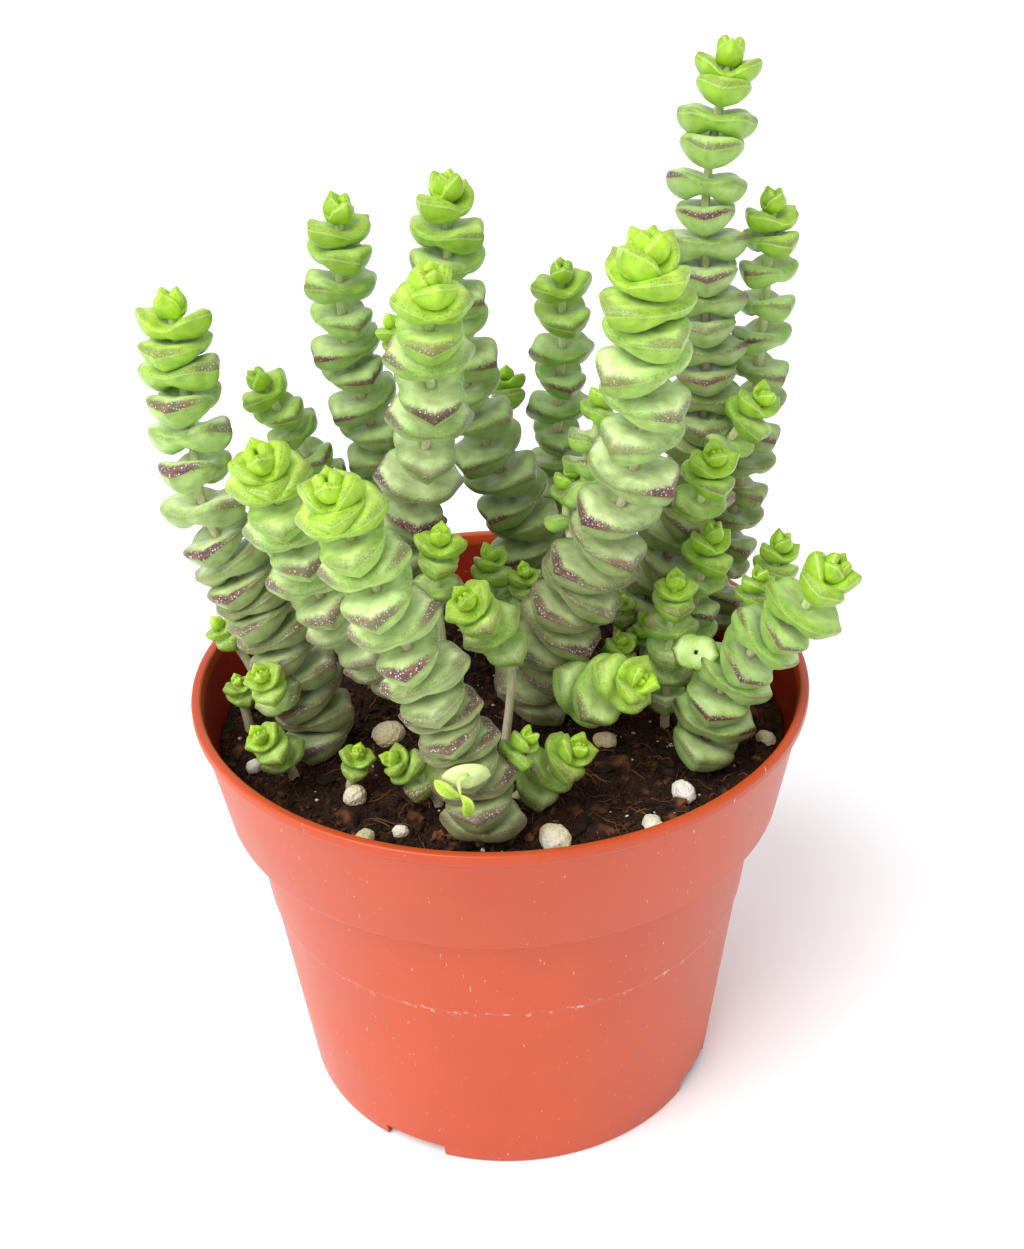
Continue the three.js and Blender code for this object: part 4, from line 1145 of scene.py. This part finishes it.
def pairs_on(stem, length, seed):
    places = places_down(stem, length)
    foot_width, top_width = stem["width"]
    pairs = []
    for j, down in enumerate(places):
        width = top_width + (foot_width - top_width) * down / length
        far = PINCHED_AGE if stem["pinched"] else down / width
        youth = math.exp(-(far / CUP_REACH) ** 2)
        size, twist, tilt_u, tilt_v = (2 * chance(seed, j, k) - 1 for k in (1, 2, 3, 4))
        half = width / 2 * (1 - YOUNG_LOSS * math.exp(-far / YOUNG_REACH)) * (1 + SIZE_SPREAD * size)
        room = (places[j + 1] if j + 1 < len(places) else down + half) - down
        thinnest = (THINNEST + YOUNG_PLUMP * youth) * half
        pairs.append(dict(
            along=length - down, half=half, index=j, far=far, youth=youth,
            thickness=min(half * THICKNESS_SHARE, max(room / CLOSEST, thinnest)),
            crowd=min(max((CROWDS_BELOW - room / half) / CROWDS_OVER, 0), 1) * (1 - youth),
            twist=TWIST_SPREAD * twist, tilt_u=TILT_SPREAD * tilt_u, tilt_v=TILT_SPREAD * tilt_v,
        ))
    return pairs


def two_lobes(seed, j, tanned):
    """Chances of each of a pair's two leaves: its reach, its lift and how far it is tanned."""
    def pick(kind, low, high):
        return [low + (high - low) * chance(seed, j, kind + lobe) for lobe in (0, 1)]
    stain = [tanned * v for v in pick(15, *LOBE_TAN)]
    return dict(reach=pick(11, *LOBE_REACH), lift=pick(13, *LOBE_LIFT), stain=stain)


print("pairs on the tallest stem:", len(places_down(tallest, 0)))

# %% [markdown]
# A leafy stem is one piece, made of its pairs and a thin tube for the shoot. The tube could end
# at the soil, but a gap would show there, so it swells and goes on into it. A heart sits inside
# the youngest pair, closed and a quarter turn from it. Small shoots stay younger and greener
# all the way down, and their hearts are smaller.

# %% Growing a stem
STEM_RADIUS = 0.75
FOOT_SWELL = 0.2
FOOT_REACH = 3
FOOT_SUNK = 3.0
SHOOT_SIDES = 10
RING_STEP = 1.1
STUB = 1.2
GROWN_CUP = -1
YOUNG_CUP = 50
YOUNG_HOOD = 5
HEART_HOOD = 4
LEAST_TAN = 0.1
TAN_BY_AGE = 1.5
UNEVEN = 0.08
UNEVEN_LENGTH = 3.0
BARK_POWER = 0.7
MAIN_STEM = dict(oldest=1, age_reach=1.6, bark=1, heart=0.84, heart_cup=63, heart_rise=0.14)
SMALL_SHOOT = dict(oldest=0.45, age_reach=0.5, bark=0.5, heart=0.5, heart_cup=66, heart_rise=0.08)


def set_on(spot, axes, leaf, age):
    """Sets a finished pair on its shoot: points, faces, paint and the number of its skin."""
    points, paint = leaf
    paint["age"] = np.full(len(points), float(age))
    return spot + points @ np.array(axes), ring_faces(len(TIP_CUT), AROUND, closed=True), paint, 0


def grow(stem, seed, kind, rooted):
    """All the skins of one shoot."""
    curve = curve_samples(stem["route"])
    length = curve[1][-1]
    parts = []
    for pair in pairs_on(stem, length, seed):
        j, half, thickness, youth = (pair[key] for key in ("index", "half", "thickness", "youth"))
        here, axis = spot_on(curve, pair["along"])
        u, v = cross_axes(axis, stem["turn"])
        axis = tilted(tilted(axis, u, pair["tilt_u"]), v, pair["tilt_v"])
        heading = stem["turn"] + pair["twist"]
        aged = kind["oldest"] * (1 - math.exp(-pair["far"] / kind["age_reach"]))
        lobes = two_lobes(seed, j, min(1, LEAST_TAN + TAN_BY_AGE * aged))
        leaf = leaf_pair(half, thickness, GROWN_CUP + YOUNG_CUP * youth, YOUNG_HOOD * youth, youth,
                         pair["crowd"], lobes, 1000 + 50 * seed + j)
        parts.append(set_on(here, [*cross_axes(axis, heading + 90 * (j % 2)), axis], leaf, aged))
        if j == 0 and not stem["pinched"]:
            leaf = leaf_pair(half * kind["heart"], thickness * kind["heart"], kind["heart_cup"],
                             HEART_HOOD, 1, 0, EVEN, 7 + seed)
            heart_spot = here + axis * kind["heart_rise"] * thickness
            parts.append(set_on(heart_spot, [*cross_axes(axis, heading + 90), axis], leaf, 0))
    stop = length - (STUB if stem["pinched"] else 0)
    alongs = np.linspace(0, stop, max(8, int(stop / RING_STEP)))
    spots = [spot_on(curve, a) for a in alongs]
    radii = STEM_RADIUS * (1 + UNEVEN * ripple(np.array([s[0] for s in spots]), UNEVEN_LENGTH, seed))
    if rooted:
        radii = radii + FOOT_SWELL * np.exp(-alongs / FOOT_REACH)
        spots.insert(0, (spots[0][0] - np.array([0, 0, FOOT_SUNK]), np.array([0, 0, 1.0])))
        radii = np.concatenate([[radii[0]], radii])
        alongs = np.concatenate([[0], alongs])
    points = tube(spots, radii, SHOOT_SIDES)
    paint = {key: np.zeros(len(points)) for key in ("margin", "tip", "stain")}
    bark_age = np.clip(1 - (alongs / length) ** BARK_POWER, 0, 1) * kind["bark"]
    paint["age"] = np.repeat(bark_age, SHOOT_SIDES)
    parts.append((points, ring_faces(len(spots), SHOOT_SIDES), paint, 1))
    return parts


print("a main heart is", MAIN_STEM["heart"], "of its pair, a small one", SMALL_SHOOT["heart"])

# %% [markdown]
# Low on the front stem sits a stunted sprout that never made pairs: a pale round leaf, a curled
# stalk, and two narrow leaves with a bright line on top. The rule for pairs can't make them, so
# each is a flattened tube along a short route, which narrows to both ends.

# %% Stunted sprout
STRAP_RINGS = 14
STRAP_SIDES = 16
STRAP_END = 0.08
FAR_FROM_TIP = 9.0
FAR_FROM_MARGIN = 3
STRIPE = 2.5
SPROUT_STEM = "stem_front"
SPROUT = [
    dict(route=[(-9.2, -45, 89.6), (-5.6, -46, 90.2), (-2.0, -44, 88.9)],
         half=2.3, thick=1.6, age=0.42, striped=0),
    dict(route=[(-6.6, -48, 87.9), (-8.3, -48.5, 89.2), (-10.3, -48, 91.1)],
         half=1.15, thick=0.8, age=0.12, striped=1),
    dict(route=[(-6.5, -48, 88.3), (-5.4, -48.2, 86.6), (-5.8, -47.5, 83.7)],
         half=0.95, thick=0.8, age=0.12, striped=1),
    dict(route=[(-6, -45.5, 90), (-5.4, -47.2, 91.2), (-6.6, -47.8, 90.6), (-6.5, -48, 88)],
         half=0.38, thick=0.7, age=0.3, striped=0),
]


def strap_leaf(route, half, thick, age, striped):
    """A narrow leaf along a route: points, faces, paint and the number of its skin."""
    curve = curve_samples(route)
    angles = np.linspace(0, 2 * math.pi, STRAP_SIDES, endpoint=False)
    rings = []
    for share in np.linspace(0, 1, STRAP_RINGS):
        here, axis = spot_on(curve, share * curve[1][-1])
        u, v = cross_axes(axis, 0)
        swell = STRAP_END + (1 - STRAP_END) * max(0.0, math.sin(math.pi * share ** 1.15)) ** 0.7
        rings.append(here + half * swell * np.outer(np.cos(angles), v)
                     + thick / 2 * swell ** 0.6 * np.outer(np.sin(angles), u))
    stripe = FAR_FROM_MARGIN - STRIPE * striped * np.maximum(np.sin(angles), 0) ** 3
    count = STRAP_RINGS * STRAP_SIDES
    paint = {"margin": np.tile(stripe, STRAP_RINGS), "tip": np.full(count, FAR_FROM_TIP),
             "stain": np.zeros(count), "age": np.full(count, age)}
    return np.concatenate(rings), ring_faces(STRAP_RINGS, STRAP_SIDES), paint, 0


print("the sprout has", len(SPROUT), "parts")

# %% [markdown]
# Now every stem grows, with its side shoots and the sprout. The skins could stay apart, but the
# plant is grown together, so they are joined into one mesh with two materials, and it takes the
# place of the plain solid in the frame. The table of shade tells how far painted shade deepens a
# stem's green.

# %% Leafy stems
SHADE = dict(stem_left_back=0.34, stem_back_left=0.32, stem_back_middle=0.28, stem_back=0.45,
             stem_tallest=0.26, stem_right_back=0.36, stem_right_inner=0.25, stem_right_far=0.25,
             stem_right=0.3)

total = 0
for k, stem in enumerate(STEMS):
    is_small = stem["name"].startswith("shoot")
    parts = grow(stem, k, SMALL_SHOOT if is_small else MAIN_STEM, True)
    for n, shoot in enumerate(SIDE_SHOOTS):
        if shoot["parent"] == stem["name"]:
            parts += grow(shoot, len(STEMS) + n, SMALL_SHOOT, False)
    if stem["name"] == SPROUT_STEM:
        parts += [strap_leaf(**leaf) for leaf in SPROUT]
    points, faces, paints, skins = zip(*parts)
    starts = np.cumsum([0] + [len(part) for part in points])
    paint = {key: np.concatenate([part[key] for part in paints]) for key in paints[0]}
    # each stem's painted shade, carried as its tone
    paint["tone"] = np.full(starts[-1], SHADE.get(stem["name"], 0))
    piece = mesh_piece(
        stem["name"] + "_grown", np.concatenate(points),
        np.concatenate([part + start for part, start in zip(faces, starts)]), [leaf_skin, shoot_skin],
        paint, np.concatenate([[skin] * len(part) for skin, part in zip(skins, faces)]))
    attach(piece, "root")
    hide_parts(stem["name"])
    total += triangles(piece)
print(len(STEMS), "leafy stems,", total, "triangles")
